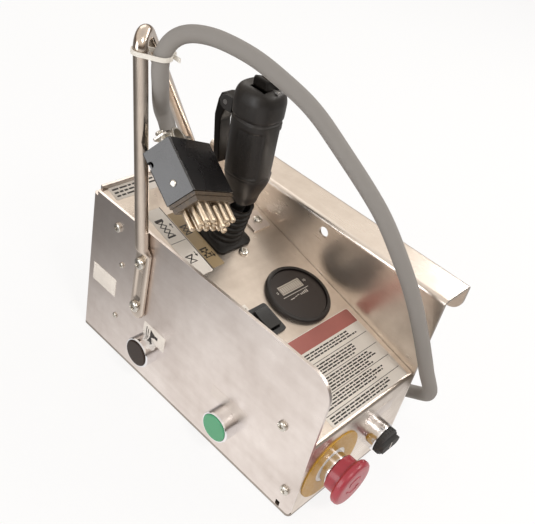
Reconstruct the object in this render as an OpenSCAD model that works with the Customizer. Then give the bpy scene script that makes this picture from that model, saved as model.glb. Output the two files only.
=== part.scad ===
// Control box of a scissor lift: a folded sheet enclosure with a sloped panel,
// a joystick, a gauge, push buttons, a carrying handle, a hook flange for the
// guard rail, and a cable that ends in a many-bladed connector.
// +X is the hook side, -Y the front, +Z up. The origin is the middle of the
// underside. All lengths are in millimetres.

/* [Enclosure] */
// Outside width over the two side plates
body_w = 130; // [124:1:140]
// Length from the front to the back
body_l = 265; // [262:1:280]
// Thickness of the sheet metal
sheet_t = 2.5; // [2:0.25:3]
// Height of the front, where the slope starts
front_h = 82.5; // [80:0.5:86]
// Height of the slope at the back
back_h = 145; // [142:0.5:147]
// Height of the left guard plate
guard_h = 148; // [148:1:156]
// Radius of the guard plate's top front corner
guard_r = 20; // [10:1:30]
// Outer radius of the bends in the sheet
bend_r = 4; // [3.5:0.5:6]
// Depth of the folded rims inside the enclosure
rim_d = 15; // [12:1:16]
// Width of the rims that rest on the bottom plate
foot_rim = 10; // [8:1:12]
// Clearance between sheets that slide into each other
sheet_gap = 0.3; // [0.2:0.05:0.4]

/* [Hook] */
// Top of the hook flange
hook_h = 160; // [156:1:170]
// How far the hook reaches out from the right plate
hook_out = 35; // [30:1:45]
// Depth of the hook's lip
hook_drop = 28; // [20:1:32]
// Radius of the lip's lower corners
lip_r = 12; // [6:1:14]
// Diameter of the tether hole in the right plate
tether_d = 9.5; // [7:0.5:11]
// Tether hole, place along the length
tether_y = -11.4; // [-30:0.1:30]
// Tether hole, height
tether_z = 147.5; // [146:0.5:149]

/* [Handle] */
// Diameter of the handle tube
tube_d = 10.5; // [9:0.5:12]
// Width of the handle's flattened feet
foot_w = 16; // [15:0.5:18]
// Thickness of the flattened feet
foot_t = 5; // [4:0.5:6]
// Height of the handle's apex corner, where its two legs would meet
apex_z = 317; // [310:1:325]
// Radius of the tube's centre line at the apex
apex_r = 9; // [8:0.5:10]
// Place of the left foot along the length
left_foot_y = 60.5; // [58:0.5:64]
// Place of the rear foot, in from the outside of the right plate
rear_foot_in = 13; // [12:0.5:19]
// Diameter of the handle's bolts
handle_bolt_d = 6; // [5:0.5:6.5]

/* [Push buttons] */
// Diameter of the chrome bezels
bezel_d = 27; // [26:0.5:29]
// Height of the chrome bezels
bezel_h = 12; // [10:0.5:14]
// Diameter of the coloured caps
cap_d = 23.6; // [22:0.2:23.8]
// How far a cap goes in
push_travel = 4; // [3:0.5:4]
// Diameter of the threaded sleeves behind the plates
sleeve_d = 22; // [21:0.5:22.5]
// Diameter of the plungers in the sleeves
plunger_d = 18.8; // [17:0.2:19]
// Radial running clearance of plungers, pins and shafts
run_gap = 0.08; // [0.05:0.01:0.1]

/* [Emergency stop] */
// Diameter of the round legend plate
legend_d = 63; // [56:1:66]
// Diameter of the mushroom head
stop_d = 40; // [36:1:42]
// Thickness of the head's disc
stop_h = 7; // [6:0.5:9]
// Diameter of the head's skirt
skirt_d = 31; // [30:0.5:33]

/* [Gauge] */
// Diameter of the gauge's bezel
gauge_d = 58; // [56:1:60]
// Height of the gauge's bezel
gauge_h = 4; // [3:0.5:6]
// Depth of the gauge below the panel
gauge_depth = 35; // [25:1:38]

/* [Joystick] */
// Lean of the stick toward the front, in degrees
stick_lean = 16.2; // [13:0.1:18]
// Lean of the grip from upright, in degrees
grip_lean = -2.2; // [-5:0.1:3]
// Distance from the pivot to the bottom of the grip
stick_len = 58.3; // [57:0.1:62]
// Diameter of the stick
stick_d = 10; // [8:0.5:11]
// Half width of the grip
grip_a = 16.5; // [15:0.5:18]
// Half depth of the grip
grip_b = 17.5; // [16:0.5:18]
// Height of the grip with its head
grip_h = 101; // [96:1:106]
// Outer diameter of the rubber boot's ribs at the base
boot_d = 31; // [29:0.5:33]
// Width of the boot's square flange
boot_w = 37.5; // [36:0.5:40]

/* [Cable and connector] */
// Diameter of the cable
cable_d = 12.2; // [11:0.1:12.4]
// Width of the connector
plug_w = 58; // [56:1:60]
// Thickness of the connector
plug_t = 25; // [23:0.5:26]
// Length of the connector's metal cap
plug_l = 42; // [38:1:46]

/* [Hidden] */
$fn = 48;

over = 1;                              // overrun of cuts
run = body_l - sheet_t - sheet_gap;    // length of the slope, seen from above
panel_a = atan((back_h - front_h) / body_l);
x_in = body_w / 2 - sheet_t;           // inner face of the side plates
px = x_in - sheet_gap;                 // half width of the control panel
y0 = -body_l / 2;
y1 = body_l / 2;

// Shares of a bezel's or a head's own sizes
rim_share = 0.12;
dome_share = 0.35;
half_share = 0.5;

// Fasteners
bolt_clear = 0.2;
screw_d = 4;
screw_head_d = 8.4;
screw_head_h = 2.8;
small_screw_d = 3;
small_head_d = 5.2;
small_head_h = 1.8;
side_screw_l = 7;
bolt_head_d = 10.5;
bolt_head_h = 3.8;
nut_d = 10.1;
nut_h = 4.5;
// Side screws that hold the panel's rims: place along the length, height
rim_in = [35.6, 28.9, 10.3];
rim_up = [130.3, 80.9, 24.8];
rim_screws = [[body_l / 2 - rim_in[0], rim_up[0]], [rim_in[1] - body_l / 2, rim_up[1]],
    [rim_in[2] - body_l / 2, rim_up[2]]];
// Small screws that hold the terminal strip
strip_screws = [[87.9, 97.3], [89.9, 39.8]];
handle_bolt_z = [75.5, 120.5];
// Bolts of the rear foot, down from the top of the guard
rear_bolt_down = [78, 44];
rear_foot_x = body_w / 2 - rear_foot_in;
rear_bolt_z = [guard_h - rear_bolt_down[0], guard_h - rear_bolt_down[1]];
// Bottom screws, in from the sides and from the ends
bottom_in = [7.5, 24.5];
bottom_screw_x = body_w / 2 - bottom_in[0];
bottom_screw_y = body_l / 2 - bottom_in[1];
csk_d = 7.8;
csk_h = 2;

// Push buttons: place along the length, height
horn_y = 44.8;
horn_z = 37.7;
enable_y = -52.4;
enable_z = 37;
cap_proud = 1;
cap_t = 5;
sleeve_l = 12;
ring_gap = 0.5;
block_w = 28;
block_l = 30;
block_seat = 6;
hex_d = 29;
hex_h = 4;

// Front panel controls: place across the width, height
stop_x = -29.5;
stop_z = 39;
legend_t = 1;
legend_in_d = 33;
legend_step = 0.6;
collar_h = 8;
skirt_z = 8.5;
stop_z0 = 18;
stop_travel = 5;
head_floor = collar_h + stop_travel + over;
spigot_d = 8;
spigot_l = 6;
select_x = 25.5;
select_z = 39;
knob_d = 23.6;
knob_z = 19.5;
bar_w = 9;

// Gauge and rocker switch, places on the slope
gauge_u = 25;
gauge_v = 107.5;
gauge_body_d = 51.5;
lens_d = 50;
lens_t = 1.2;
window_w = 26;
window_h = 9;
window_u = -1;
window_v = 9;
clamp_t = 2;
stud_d = 4;
stud_len = 18;
stud_x = 13;
rocker_u = -19.5;
rocker_v = 101;
rocker_w = 21;
rocker_l = 28;
rocker_rim = 2.2;
rocker_body_l = 26;
rocker_wall = 1.6;
rocker_depth = 28;
paddle_r = 17;
paddle_rise = 7;
rocker_pin_d = 3;
blade_w = 6.3;
blade_t = 0.8;
blade_l = 8;

// Joystick
stick_u = 8.5;
stick_v = 188;
pivot_w = -12;
stick_hole_d = 27;
pin_d = 5;
hub_d = 14;
hub_w = 18;
stick_tail = 24;
case_w = 44;
case_wall = 3;
case_depth = 46;
plate_t = 2.5;
bracket_u = [-20, 57];
bracket_v = [157, 213];
strap_u = 47.25;
strap_v = 187;
strap_screw_u = 2.05;
panel_screw_uv = [[12.8, 164.4], [strap_u + strap_screw_u, strap_v], [4.2, 211.6]];
strap_w = 19.5;
strap_l = 20;
strap_t = 1.5;
boot_flange_t = 3;
boot_r = 6;
boot_ribs = 6;
boot_rib_d = 3;
boot_top_d = 23;
boot_wall = 2;
grip_bore = 22;
trig_w = 12;
trig_pin_d = 4;
trig_y = 26;
ear_base = 1.5;
trig_z = 75;
ear_t = 3;
ear_r = 6;
ear_gap = 0.4;
thumb_w = 17;
thumb_l = 14;
thumb_t = 8;
thumb_pin_d = 3;
thumb_y = -4;
thumb_well = 6;
thumb_swing = 10;

// Cable, connector and what holds them
gland_y = -103;
gland_z = 22;
gland_out = 21;
gland_hex_d = 26;
gland_hex_h = 6;
gland_d = 22;
gland_neck_d = 19.4;
gland_in = 12;
tie_z = 288;
tie_t = 1.3;
tie_h = 4.5;
tie_gap = 1.2;
plug_at = [-69.8, 48.7, 241.1];
plug_turn = [-55, 25, 10];
cap_wall = 1.6;
insul_out = 7;
insul_step = 1;
lip_out = 3;
blade_rows = 3;
blade_cols = 5;
pole_w = 5;
pole_t = 2.2;
pole_out = 14;
pole_long = 20;
clamp_w = 22;
clamp_h = 12;
clamp_len = 14;
clamp_wing = 8;
plug_rivet_d = 4;
// Route of the cable's centre line, from the gland to the connector's clamp
cable_pts = [[86, -103, 22], [95, -104, 20.5], [102, -112, 21], [104, -125, 27],
    [99, -137, 38], [90, -142, 51], [80, -144, 64], [70, -144, 78], [61, -142, 93],
    [54, -138, 110], [47, -130, 133], [41, -117, 160], [32, -102, 188],
    [20, -77, 224], [5, -39, 260], [-4, -16, 279], [-13, 7, 291], [-23, 27, 300],
    [-34, 46, 305], [-43, 58, 306], [-51, 66, 304], [-58, 70, 299], [-63, 72, 290],
    [-64, 72, 280], [-62, 72, 268], [-58, 75, 258], [-53, 79, 248],
    [-49, 81, 240], [-47, 78, 233], [-48.3, 71.7, 226.8]];

// Board and strip inside
board_x = [-10, 54];
board_y = [-40, 80];
board_z = 11;
board_t = 1.6;
standoff_d = 6;
relay_w = 16;
relay_h = 15;
strip_y = [81, 97];
strip_z = [33, 104];
strip_t = 9;
strip_slots = 6;
strip_slot = 5;

// The places

// On the slope: u across the width, v up the slope, +Z out of the panel
module on_panel(u, v) {
    translate([0, y0, front_h]) rotate([panel_a, 0, 0]) translate([u, v, 0]) children();
}
module on_front(x, z) { translate([x, y0, z]) rotate([90, 0, 0]) children(); }
module on_left(y, z) { translate([-body_w / 2, y, z]) rotate([0, -90, 0]) children(); }
module on_right(y, z) { translate([body_w / 2, y, z]) rotate([0, 90, 0]) children(); }
module on_rear(x, z) { translate([x, y1, z]) rotate([-90, 0, 0]) children(); }
// In the upright plane of the length: outline x runs along Y, outline y up
module upright(x, t) { translate([x, 0, 0]) rotate([90, 0, 90]) linear_extrude(t) children(); }

pivot = [stick_u,
    y0 + stick_v * cos(panel_a) - pivot_w * sin(panel_a),
    front_h + stick_v * sin(panel_a) + pivot_w * cos(panel_a)];
module on_stick() { translate(pivot) rotate([stick_lean, 0, 0]) children(); }
grip_at = [pivot[0], pivot[1] - stick_len * sin(stick_lean), pivot[2] + stick_len * cos(stick_lean)];
module on_grip() { translate(grip_at) rotate([grip_lean, 0, 0]) children(); }
module on_plug() { translate(plug_at) rotate(plug_turn) children(); }

// The shapes

// What a rounded corner takes away: the corner is the origin, the shape lies
// on its +x +y side
module corner(r) {
    difference() {
        translate([-over, -over]) square(r + over);
        translate([r, r]) circle(r);
    }
}
// A rectangle with four rounded corners, centred
module round_rect(w, h, r) {
    union() {
        square([w - 2 * r, h], center = true);
        square([w, h - 2 * r], center = true);
        for (sx = [-1, 1], sy = [-1, 1])
            translate([sx * (w / 2 - r), sy * (h / 2 - r)]) circle(r);
    }
}
// A strip of sheet bent between two directions, centre at the origin
module bend2d(r, t, a0, a1) {
    intersection() {
        difference() { circle(r); circle(r - t); }
        polygon(concat([[0, 0]],
            [for (k = [0:4]) 2 * r * [cos(a0 + (a1 - a0) * k / 4), sin(a0 + (a1 - a0) * k / 4)]]));
    }
}
// A screw or bolt: shank down, domed head up from the origin
module screw(d, l, head_d, head_h) {
    rim = head_h * half_share;
    rotate_extrude() polygon([[0, -l], [d / 2, -l], [d / 2, 0], [head_d / 2, 0],
        [head_d / 2, rim], [head_d / 2 * 0.9, head_h * 0.8], [head_d / 2 * 0.6, head_h], [0, head_h]]);
}
module hex(d, h) { rotate(30) cylinder(d = d, h = h, $fn = 6); }

function spow(v, p) = v < 0 ? -pow(-v, p) : pow(v, p);
function unit(v) = v / norm(v);
// A closed ring: centre, two half axes as vectors, and the roundness share
function ring(c, e1, e2, p, n) =
    [for (i = [0:n - 1]) c + e1 * spow(cos(360 * i / n), p) + e2 * spow(sin(360 * i / n), p)];
// Rings joined into one closed solid
module skin(rings) {
    n = len(rings[0]);
    m = len(rings);
    pts = [for (r = rings) for (q = r) q];
    sides = [for (j = [0:m - 2]) for (i = [0:n - 1]) for (f = [
        [j * n + i, (j + 1) * n + i, j * n + (i + 1) % n],
        [j * n + (i + 1) % n, (j + 1) * n + i, (j + 1) * n + (i + 1) % n]]) f];
    polyhedron(points = pts, faces = concat(sides,
        [[for (i = [0:n - 1]) i]], [[for (i = [n - 1:-1:0]) (m - 1) * n + i]]), convexity = 6);
}
// An upright form from a table of heights, half widths, half depths and places
module loft(table, p, n) {
    skin([for (t = table) ring([0, t[3], t[0]], [0, t[2], 0], [t[1], 0, 0], p, n)]);
}
// Points of a rounded corner of radius r at b, on the way from a to c
function fillet(a, b, c, r, n) =
    let (u = unit(a - b), w = unit(c - b), ang = acos(u * w),
        ctr = b + unit(u + w) * r / sin(ang / 2),
        p = b + u * r / tan(ang / 2), q = b + w * r / tan(ang / 2),
        e1 = unit(p - ctr), e3 = unit(cross(e1, q - ctr)), e2 = cross(e3, e1))
    [for (i = [0:n]) ctr + r * (cos((180 - ang) * i / n) * e1 + sin((180 - ang) * i / n) * e2)];
// A smooth line through points
function through(p, i, t) =
    let (m = len(p) - 1, b = p[i], c = p[min(i + 1, m)],
        a = i > 0 ? p[i - 1] : 2 * b - c, d = i + 2 <= m ? p[i + 2] : 2 * c - b)
    (2 * b + (c - a) * t + (2 * a - 5 * b + 4 * c - d) * t * t + (3 * b - a - 3 * c + d) * t * t * t) / 2;

// The sheet metal

module drill(d) { translate([0, 0, -2 * rim_d]) cylinder(d = d, h = 4 * rim_d); }
// The holes that the side screws go through, on either side
module rim_holes(side) {
    for (s = rim_screws)
        if (side < 0) on_left(s[0], s[1]) drill(screw_d + bolt_clear);
        else on_right(s[0], s[1]) drill(screw_d + bolt_clear);
}
// The two holes of the handle's left foot
module foot_holes() {
    for (z = handle_bolt_z) on_left(left_foot_y, z) drill(handle_bolt_d + bolt_clear);
}
module bottom_holes(d) {
    for (sx = [-1, 1], sy = [-1, 1])
        translate([sx * bottom_screw_x, sy * bottom_screw_y, -over]) cylinder(d = d, h = rim_d);
}

module side_shell() color([0.78, 0.76, 0.74]) {
    difference() {
        union() {
            // the guard plate
            upright(-body_w / 2, sheet_t) difference() {
                translate([y0, sheet_t]) square([body_l, guard_h - sheet_t]);
                translate([y0, guard_h]) mirror([0, 1]) corner(guard_r);
                translate([y0, sheet_t]) corner(bend_r);
            }
            // the rear wall, with its rim at the right plate
            translate([-body_w / 2, y1 - sheet_t, sheet_t])
                cube([body_w / 2 + px, sheet_t, guard_h - sheet_t]);
            translate([px - sheet_t, y1 - rim_d, sheet_t * 2 + sheet_gap])
                cube([sheet_t, rim_d - over, guard_h - 2 * rim_d - sheet_t]);
            // the rim on the bottom plate
            translate([-body_w / 2, y0 + rim_d, sheet_t])
                cube([sheet_t + foot_rim, body_l - rim_d, sheet_t]);
        }
        // rounded outside edge of the rear bend
        translate([-body_w / 2, y1, -over]) mirror([0, 1, 0])
            linear_extrude(guard_h + 2 * over) corner(bend_r);
        // relief notches at the bends
        translate([-body_w / 2 - over, y1 - sheet_t - bend_r, guard_h - bend_r])
            cube([sheet_t + 2 * over + bend_r, sheet_t + bend_r + over, bend_r + over]);
        translate([-body_w / 2 - over, y0 + rim_d - bend_r, -over])
            cube([sheet_t + 2 * over, bend_r, sheet_t * 2 + bend_r]);
        rim_holes(-1);
        foot_holes();
        for (s = strip_screws) on_left(s[0], s[1]) drill(small_screw_d + bolt_clear);
        on_left(horn_y, horn_z) drill(sleeve_d + bolt_clear);
        on_left(enable_y, enable_z) drill(sleeve_d + bolt_clear);
        for (z = rear_bolt_z) on_rear(rear_foot_x, z) drill(handle_bolt_d + bolt_clear);
        bottom_holes(screw_d + bolt_clear);
    }
}

hook_x = body_w / 2 + hook_out;
module hook_plate() color([0.80, 0.78, 0.76]) {
    difference() {
        union() {
            // plate, flange and lip: one bent strip
            translate([0, y1, 0]) rotate([90, 0, 0]) linear_extrude(body_l) union() {
                translate([x_in, sheet_t]) square([sheet_t, hook_h - bend_r - sheet_t]);
                translate([x_in + bend_r, hook_h - bend_r]) bend2d(bend_r, sheet_t, 90, 180);
                translate([x_in + bend_r, hook_h - sheet_t])
                    square([hook_out + sheet_t - 2 * bend_r, sheet_t]);
                translate([hook_x - bend_r, hook_h - bend_r]) bend2d(bend_r, sheet_t, 0, 90);
                translate([hook_x - sheet_t, hook_h - hook_drop])
                    square([sheet_t, hook_drop - bend_r]);
                // the rim on the bottom plate
                translate([x_in - foot_rim, sheet_t]) square([foot_rim + over, sheet_t]);
            }
        }
        // rounded lower corners of the lip
        translate([hook_x - bend_r, 0, 0]) rotate([90, 0, 90]) linear_extrude(2 * bend_r) union() {
            translate([y0, hook_h - hook_drop]) corner(lip_r);
            translate([y1, hook_h - hook_drop]) mirror([1, 0]) corner(lip_r);
        }
        // relief of the rim at the front and the back
        translate([x_in - foot_rim - over, y0 - over, -over])
            cube([foot_rim + over - sheet_gap, rim_d + over, sheet_t * 2 + 2 * over]);
        translate([x_in - foot_rim - over, y1 - rim_d, -over])
            cube([foot_rim + over - sheet_gap, rim_d + over, sheet_t * 2 + 2 * over]);
        on_right(tether_y, tether_z) drill(tether_d);
        rim_holes(1);
        on_right(gland_y, gland_z) drill(gland_neck_d + bolt_clear);
        bottom_holes(screw_d + bolt_clear);
    }
}

module bottom_cover() color([0.70, 0.69, 0.67]) {
    difference() {
        linear_extrude(sheet_t) translate([0, 0]) round_rect(body_w, body_l, bend_r);
        bottom_holes(screw_d + bolt_clear);
        for (sx = [-1, 1], sy = [-1, 1])
            translate([sx * bottom_screw_x, sy * bottom_screw_y, -over]) rotate_extrude()
                polygon([[0, 0], [csk_d / 2 + over, 0], [csk_d / 2, over], [screw_d / 2, over + csk_h],
                    [0, over + csk_h]]);
    }
}

// the bend between the front and the slope
turn_a = 90 - panel_a;
bend_len = bend_r * tan(turn_a / 2);
slope_end = (run - sheet_t * sin(panel_a)) / cos(panel_a);
module panel_profile() {
    union() {
        translate([y0, sheet_t]) square([sheet_t, front_h - bend_len - sheet_t]);
        translate([y0 + bend_r, front_h - bend_len]) bend2d(bend_r, sheet_t, 90 + panel_a, 180);
        translate([y0, front_h]) rotate(panel_a) translate([bend_len, -sheet_t])
            square([slope_end - bend_len, sheet_t]);
        // rim at the back and at the bottom
        translate([y0 + run - sheet_t, front_h + run * tan(panel_a) - rim_d])
            square([sheet_t, rim_d - sheet_t * half_share]);
        translate([y0, sheet_t]) square([rim_d, sheet_t]);
    }
}
module panel_side_profile() {
    union() {
        translate([y0, front_h]) rotate(panel_a) translate([rim_d, -rim_d])
            square([slope_end - rim_d - sheet_t * 2, rim_d - sheet_t * half_share]);
        translate([y0 + sheet_t * half_share, sheet_t * 2])
            square([rim_d, front_h - rim_d - sheet_t]);
    }
}
module control_panel() color([0.84, 0.82, 0.80]) {
    difference() {
        union() {
            upright(-px, 2 * px) panel_profile();
            upright(-px, sheet_t) panel_side_profile();
            upright(px - sheet_t, sheet_t) panel_side_profile();
        }
        // the bottom rim stays clear of the side rims
        for (sx = [-1, 1]) translate([sx * (x_in - foot_rim / 2 + over), y0 + rim_d / 2 + sheet_t,
            sheet_t * half_share])
            cube([foot_rim + 4 * over, rim_d, sheet_t * 3], center = true);
        rim_holes(-1);
        rim_holes(1);
        foot_holes();
        on_front(stop_x, stop_z) translate([0, 0, -2 * sheet_t]) cylinder(d = sleeve_d + bolt_clear, h
            = 4 * sheet_t);
        on_front(select_x, select_z) translate([0, 0, -2 * sheet_t]) cylinder(d = sleeve_d +
            bolt_clear, h = 4 * sheet_t);
        on_panel(gauge_u, gauge_v) translate([0, 0, -2 * sheet_t])
            cylinder(d = gauge_body_d + bolt_clear, h = 4 * sheet_t, $fn = 96);
        on_panel(rocker_u, rocker_v) cube([rocker_w - 2 * rocker_rim + bolt_clear,
            rocker_body_l + bolt_clear - rocker_rim, 4 * sheet_t], center = true);
        on_panel(stick_u, stick_v) translate([0, 0, -2 * sheet_t]) cylinder(d = stick_hole_d, h = 4 *
            sheet_t);
        for (s = panel_screw_uv) on_panel(s[0], s[1]) translate([0, 0, -2 * sheet_t])
            cylinder(d = screw_d + bolt_clear, h = 4 * sheet_t);
    }
}

// The handle

foot_x = -body_w / 2 - foot_t / 2;
foot_yr = y1 + foot_t / 2;
foot_z0 = handle_bolt_z[0] - foot_w / 2 - foot_t;
foot_top = handle_bolt_z[1] + foot_w / 2;
rear_top = rear_bolt_z[1] + foot_w / 2;
lean_l = [-body_w / 2 - tube_d / 2 - sheet_gap, left_foot_y + bend_r / 8, foot_top + foot_w * half_share];
apex = [lean_l[0] - sheet_t, left_foot_y + 2.6 * tube_d - 0.8 * over, apex_z];
rear_bend = [rear_foot_x, y1 + tube_d / 2 + bend_r - over, guard_h - bend_r];
rear_low = [rear_foot_x, y1 + tube_d / 2 + over, guard_h - foot_w];
rear_r = 26;
flat_p = 0.55;
handle_n = 20;
function tube_frame(t, e) = let (f = unit(e - t * (e * t))) [f, cross(t, f)];
handle_line = concat(
    [[[foot_x, left_foot_y, foot_top - over], foot_w / 2 * 0.98, foot_t / 2 * 0.96, flat_p]],
    [[[foot_x - foot_t * 0.18, left_foot_y, foot_top + foot_w / 4], foot_w / 2 * 0.9, foot_t / 2 *
        1.25, 0.7]],
    [[lean_l, tube_d / 2, tube_d / 2, 1]],
    [for (q = fillet(lean_l, apex, rear_bend, apex_r, 10)) [q, tube_d / 2, tube_d / 2, 1]],
    [for (q = fillet(apex, rear_bend, rear_low, rear_r, 5)) [q, tube_d / 2, tube_d / 2, 1]],
    [[rear_low + [0, 0, -over], tube_d / 2, tube_d / 2, 1]],
    [[[rear_foot_x, foot_yr + foot_t * 0.18, rear_top + foot_w / 4], foot_t / 2 * 1.25, foot_w / 2 *
        0.9, 0.7]],
    [[[rear_foot_x, foot_yr, rear_top - over], foot_t / 2 * 0.96, foot_w / 2 * 0.98, flat_p]]);
function line_dir(l, i) =
    i == 0 || i == len(l) - 1 ? [0, 0, i == 0 ? 1 : -1] :
    unit(unit(l[i + 1][0] - l[i][0]) + unit(l[i][0] - l[i - 1][0]));

// A flattened foot: bolt bores and a pressed groove, outer face up
module foot(z0, z1, bolts) {
    h = z1 - z0;
    difference() {
        union() {
            translate([-foot_t / 2, -foot_w / 2, z0 + foot_w / 2]) cube([foot_t, foot_w, h - foot_w / 2]);
            translate([0, 0, z0 + foot_w / 2]) rotate([0, 90, 0])
                cylinder(d = foot_w, h = foot_t, center = true);
        }
        for (z = bolts) translate([0, 0, z]) rotate([0, 90, 0])
            cylinder(d = handle_bolt_d + bolt_clear, h = 2 * foot_w, center = true);
        translate([-foot_t / 2 - over, 0, (bolts[0] + bolts[1]) / 2]) rotate([0, 90, 0])
            linear_extrude(over + foot_t / 4)
            round_rect(bolts[1] - bolts[0] - foot_w * 0.75, foot_w * 0.36, foot_w * 0.179);
    }
}
module guard_handle() color([0.72, 0.70, 0.68]) {
    union() {
        translate([foot_x, left_foot_y, 0]) foot(foot_z0, foot_top, handle_bolt_z);
        translate([rear_foot_x, foot_yr, 0]) rotate([0, 0, -90]) foot(rear_bolt_z[0] - foot_w / 2 -
            foot_t, rear_top, rear_bolt_z);
        skin([for (i = [0:len(handle_line) - 1]) let (h = handle_line[i],
            fr = tube_frame(line_dir(handle_line, i), [0, 1, 0]))
            ring(h[0], fr[0] * h[1], fr[1] * h[2], h[3], handle_n)]);
    }
}
module handle_bolts() color([0.82, 0.82, 0.80]) {
    for (i = [0, 1]) on_left(left_foot_y, handle_bolt_z[i]) translate([0, 0, foot_t])
        screw(handle_bolt_d, foot_t + sheet_t * (1 + i) + sheet_gap * i + nut_h + over, bolt_head_d,
            bolt_head_h);
    for (z = rear_bolt_z) on_rear(rear_foot_x, z) translate([0, 0, foot_t])
        screw(handle_bolt_d, foot_t + sheet_t + nut_h + over, bolt_head_d, bolt_head_h);
}
module nut() {
    difference() {
        hex(nut_d, nut_h);
        translate([0, 0, -over]) cylinder(d = handle_bolt_d + bolt_clear, h = nut_h + 2 * over);
    }
}
module handle_nuts() color([0.66, 0.66, 0.64]) {
    for (i = [0, 1]) on_left(left_foot_y, handle_bolt_z[i])
        translate([0, 0, -sheet_t * (1 + i) - sheet_gap * i - nut_h]) nut();
    for (z = rear_bolt_z) on_rear(rear_foot_x, z) translate([0, 0, -sheet_t - nut_h]) nut();
}

// The screws

module side_screws() color([0.82, 0.82, 0.80]) {
    for (s = rim_screws) {
        on_left(s[0], s[1]) screw(screw_d, side_screw_l, screw_head_d, screw_head_h);
        on_right(s[0], s[1]) screw(screw_d, side_screw_l, screw_head_d, screw_head_h);
    }
    for (s = strip_screws) on_left(s[0], s[1]) screw(small_screw_d, side_screw_l, small_head_d,
        small_head_h);
}
module bottom_screws() color([0.70, 0.70, 0.68]) {
    for (sx = [-1, 1], sy = [-1, 1]) translate([sx * bottom_screw_x, sy * bottom_screw_y, 0])
        rotate_extrude() polygon([[0, 0], [csk_d / 2, 0], [screw_d / 2, csk_h],
            [screw_d / 2, sheet_t * 3], [0, sheet_t * 3]]);
}
module panel_screws() color([0.82, 0.82, 0.80]) {
    for (i = [0:2]) on_panel(panel_screw_uv[i][0], panel_screw_uv[i][1])
        translate([0, 0, i == 1 ? strap_t : 0])
        screw(screw_d, sheet_t + plate_t + (i == 1 ? strap_t : 0) + over, screw_head_d, screw_head_h);
}

// The joystick

module joystick_body() color([0.16, 0.16, 0.17]) {
    on_panel(0, 0) difference() {
        union() {
            // bracket under the panel
            translate([bracket_u[0], bracket_v[0], -sheet_t - plate_t])
                cube([bracket_u[1] - bracket_u[0], bracket_v[1] - bracket_v[0], plate_t]);
            translate([stick_u - case_w / 2, stick_v - case_w / 2, -sheet_t - case_depth])
                cube([case_w, case_w, case_depth - plate_t * half_share]);
        }
        translate([stick_u - case_w / 2 + case_wall, stick_v - case_w / 2 + case_wall, -sheet_t -
            case_depth + case_wall])
            cube([case_w - 2 * case_wall, case_w - 2 * case_wall, case_depth]);
        for (s = panel_screw_uv) translate([s[0], s[1], -sheet_t - plate_t - over])
            cylinder(d = screw_d + bolt_clear, h = plate_t + 2 * over);
        translate([stick_u, stick_v, pivot_w]) rotate([0, 90, 0])
            cylinder(d = pin_d + 2 * run_gap, h = 2 * case_w, center = true);
    }
}
module joystick_strap() color([0.80, 0.79, 0.77]) {
    on_panel(strap_u, strap_v) difference() {
        linear_extrude(strap_t) round_rect(strap_w, strap_l, strap_t);
        translate([panel_screw_uv[1][0] - strap_u, panel_screw_uv[1][1] - strap_v, -over])
            cylinder(d = screw_d + bolt_clear, h = strap_t + 2 * over);
    }
}
// Rubber bellows: a square flange on the panel and ribs up to the stick
boot_base = -pivot_w + boot_flange_t;
boot_end = stick_len - grip_b * 0.62 * sin(stick_lean - grip_lean) - sheet_gap;
module joystick_boot() color([0.10, 0.10, 0.11]) {
    on_panel(stick_u, stick_v) difference() {
        linear_extrude(boot_flange_t) round_rect(boot_w, boot_w, boot_r);
        translate([0, 0, -over]) cylinder(d = boot_d - 2 * boot_rib_d - 2 * boot_wall, h =
            boot_flange_t + 2 * over);
    }
    on_stick() rotate_extrude() polygon(concat(
        [[boot_d / 2 - boot_rib_d - boot_wall, boot_base - boot_flange_t * half_share],
            [boot_d / 2, boot_base - boot_flange_t * half_share]],
        [for (i = [0:boot_ribs - 1]) let (p = (boot_end - boot_base) / (boot_ribs + 0.3), z = boot_base
            + p * i,
            g = boot_d / 2 - (boot_d - boot_top_d) / 2 * i / boot_ribs)
            for (q = [[g, z], [g, z + p * 0.35], [g - boot_rib_d * 0.3, z + p * 0.48],
                [g - boot_rib_d, z + p * 0.66], [g - boot_rib_d, z + p * 0.8]]) q],
        [[boot_top_d / 2, boot_end - boot_rib_d * half_share], [boot_top_d / 2 - sheet_gap, boot_end],
            [stick_d / 2 + sheet_gap, boot_end],
            [stick_d / 2 + sheet_gap, boot_end - boot_rib_d]]));
}
module joystick_shaft() color([0.55, 0.55, 0.56]) {
    on_stick() difference() {
        union() {
            translate([0, 0, -stick_tail]) cylinder(d = stick_d, h = stick_tail + stick_len + grip_bore
                - over);
            rotate([0, 90, 0]) cylinder(d = hub_d, h = hub_w, center = true);
        }
        rotate([0, 90, 0]) cylinder(d = pin_d + 2 * run_gap, h = 2 * hub_w, center = true);
    }
}
module joystick_pin() color([0.75, 0.75, 0.75]) {
    on_stick() rotate([0, 90, 0]) cylinder(d = pin_d, h = case_w, center = true);
}
// Grip: waist, body, ring groove and domed head, as one moulding
function grip_table() = let (h = grip_h, a = grip_a, b = grip_b) [
    [0, a * 0.56, b * 0.56, 0], [h * 0.02, a * 0.60, b * 0.60, 0], [h * 0.07, a * 0.66, b * 0.66, 0],
    [h * 0.16, a * 0.86, b * 0.86, 0], [h * 0.23, a * 0.97, b * 0.97, 0], [h * 0.31, a, b, 0],
    [h * 0.52, a * 1.02, b * 1.01, 0], [h * 0.70, a * 1.03, b * 1.03, 0],
    [h * 0.715, a * 0.98, b * 0.98, 0], [h * 0.735, a * 0.98, b * 0.98, 0],
    [h * 0.75, a * 1.05, b * 1.05, 0], [h * 0.86, a * 1.07, b * 1.06, 0],
    [h * 0.92, a * 1.0, b * 1.0, 0], [h * 0.955, a * 0.88, b * 0.89, 0],
    [h * 0.97, a * 0.76, b * 0.78, 0], [h * 0.974, a * 0.6, b * 0.64, 0]];
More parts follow.
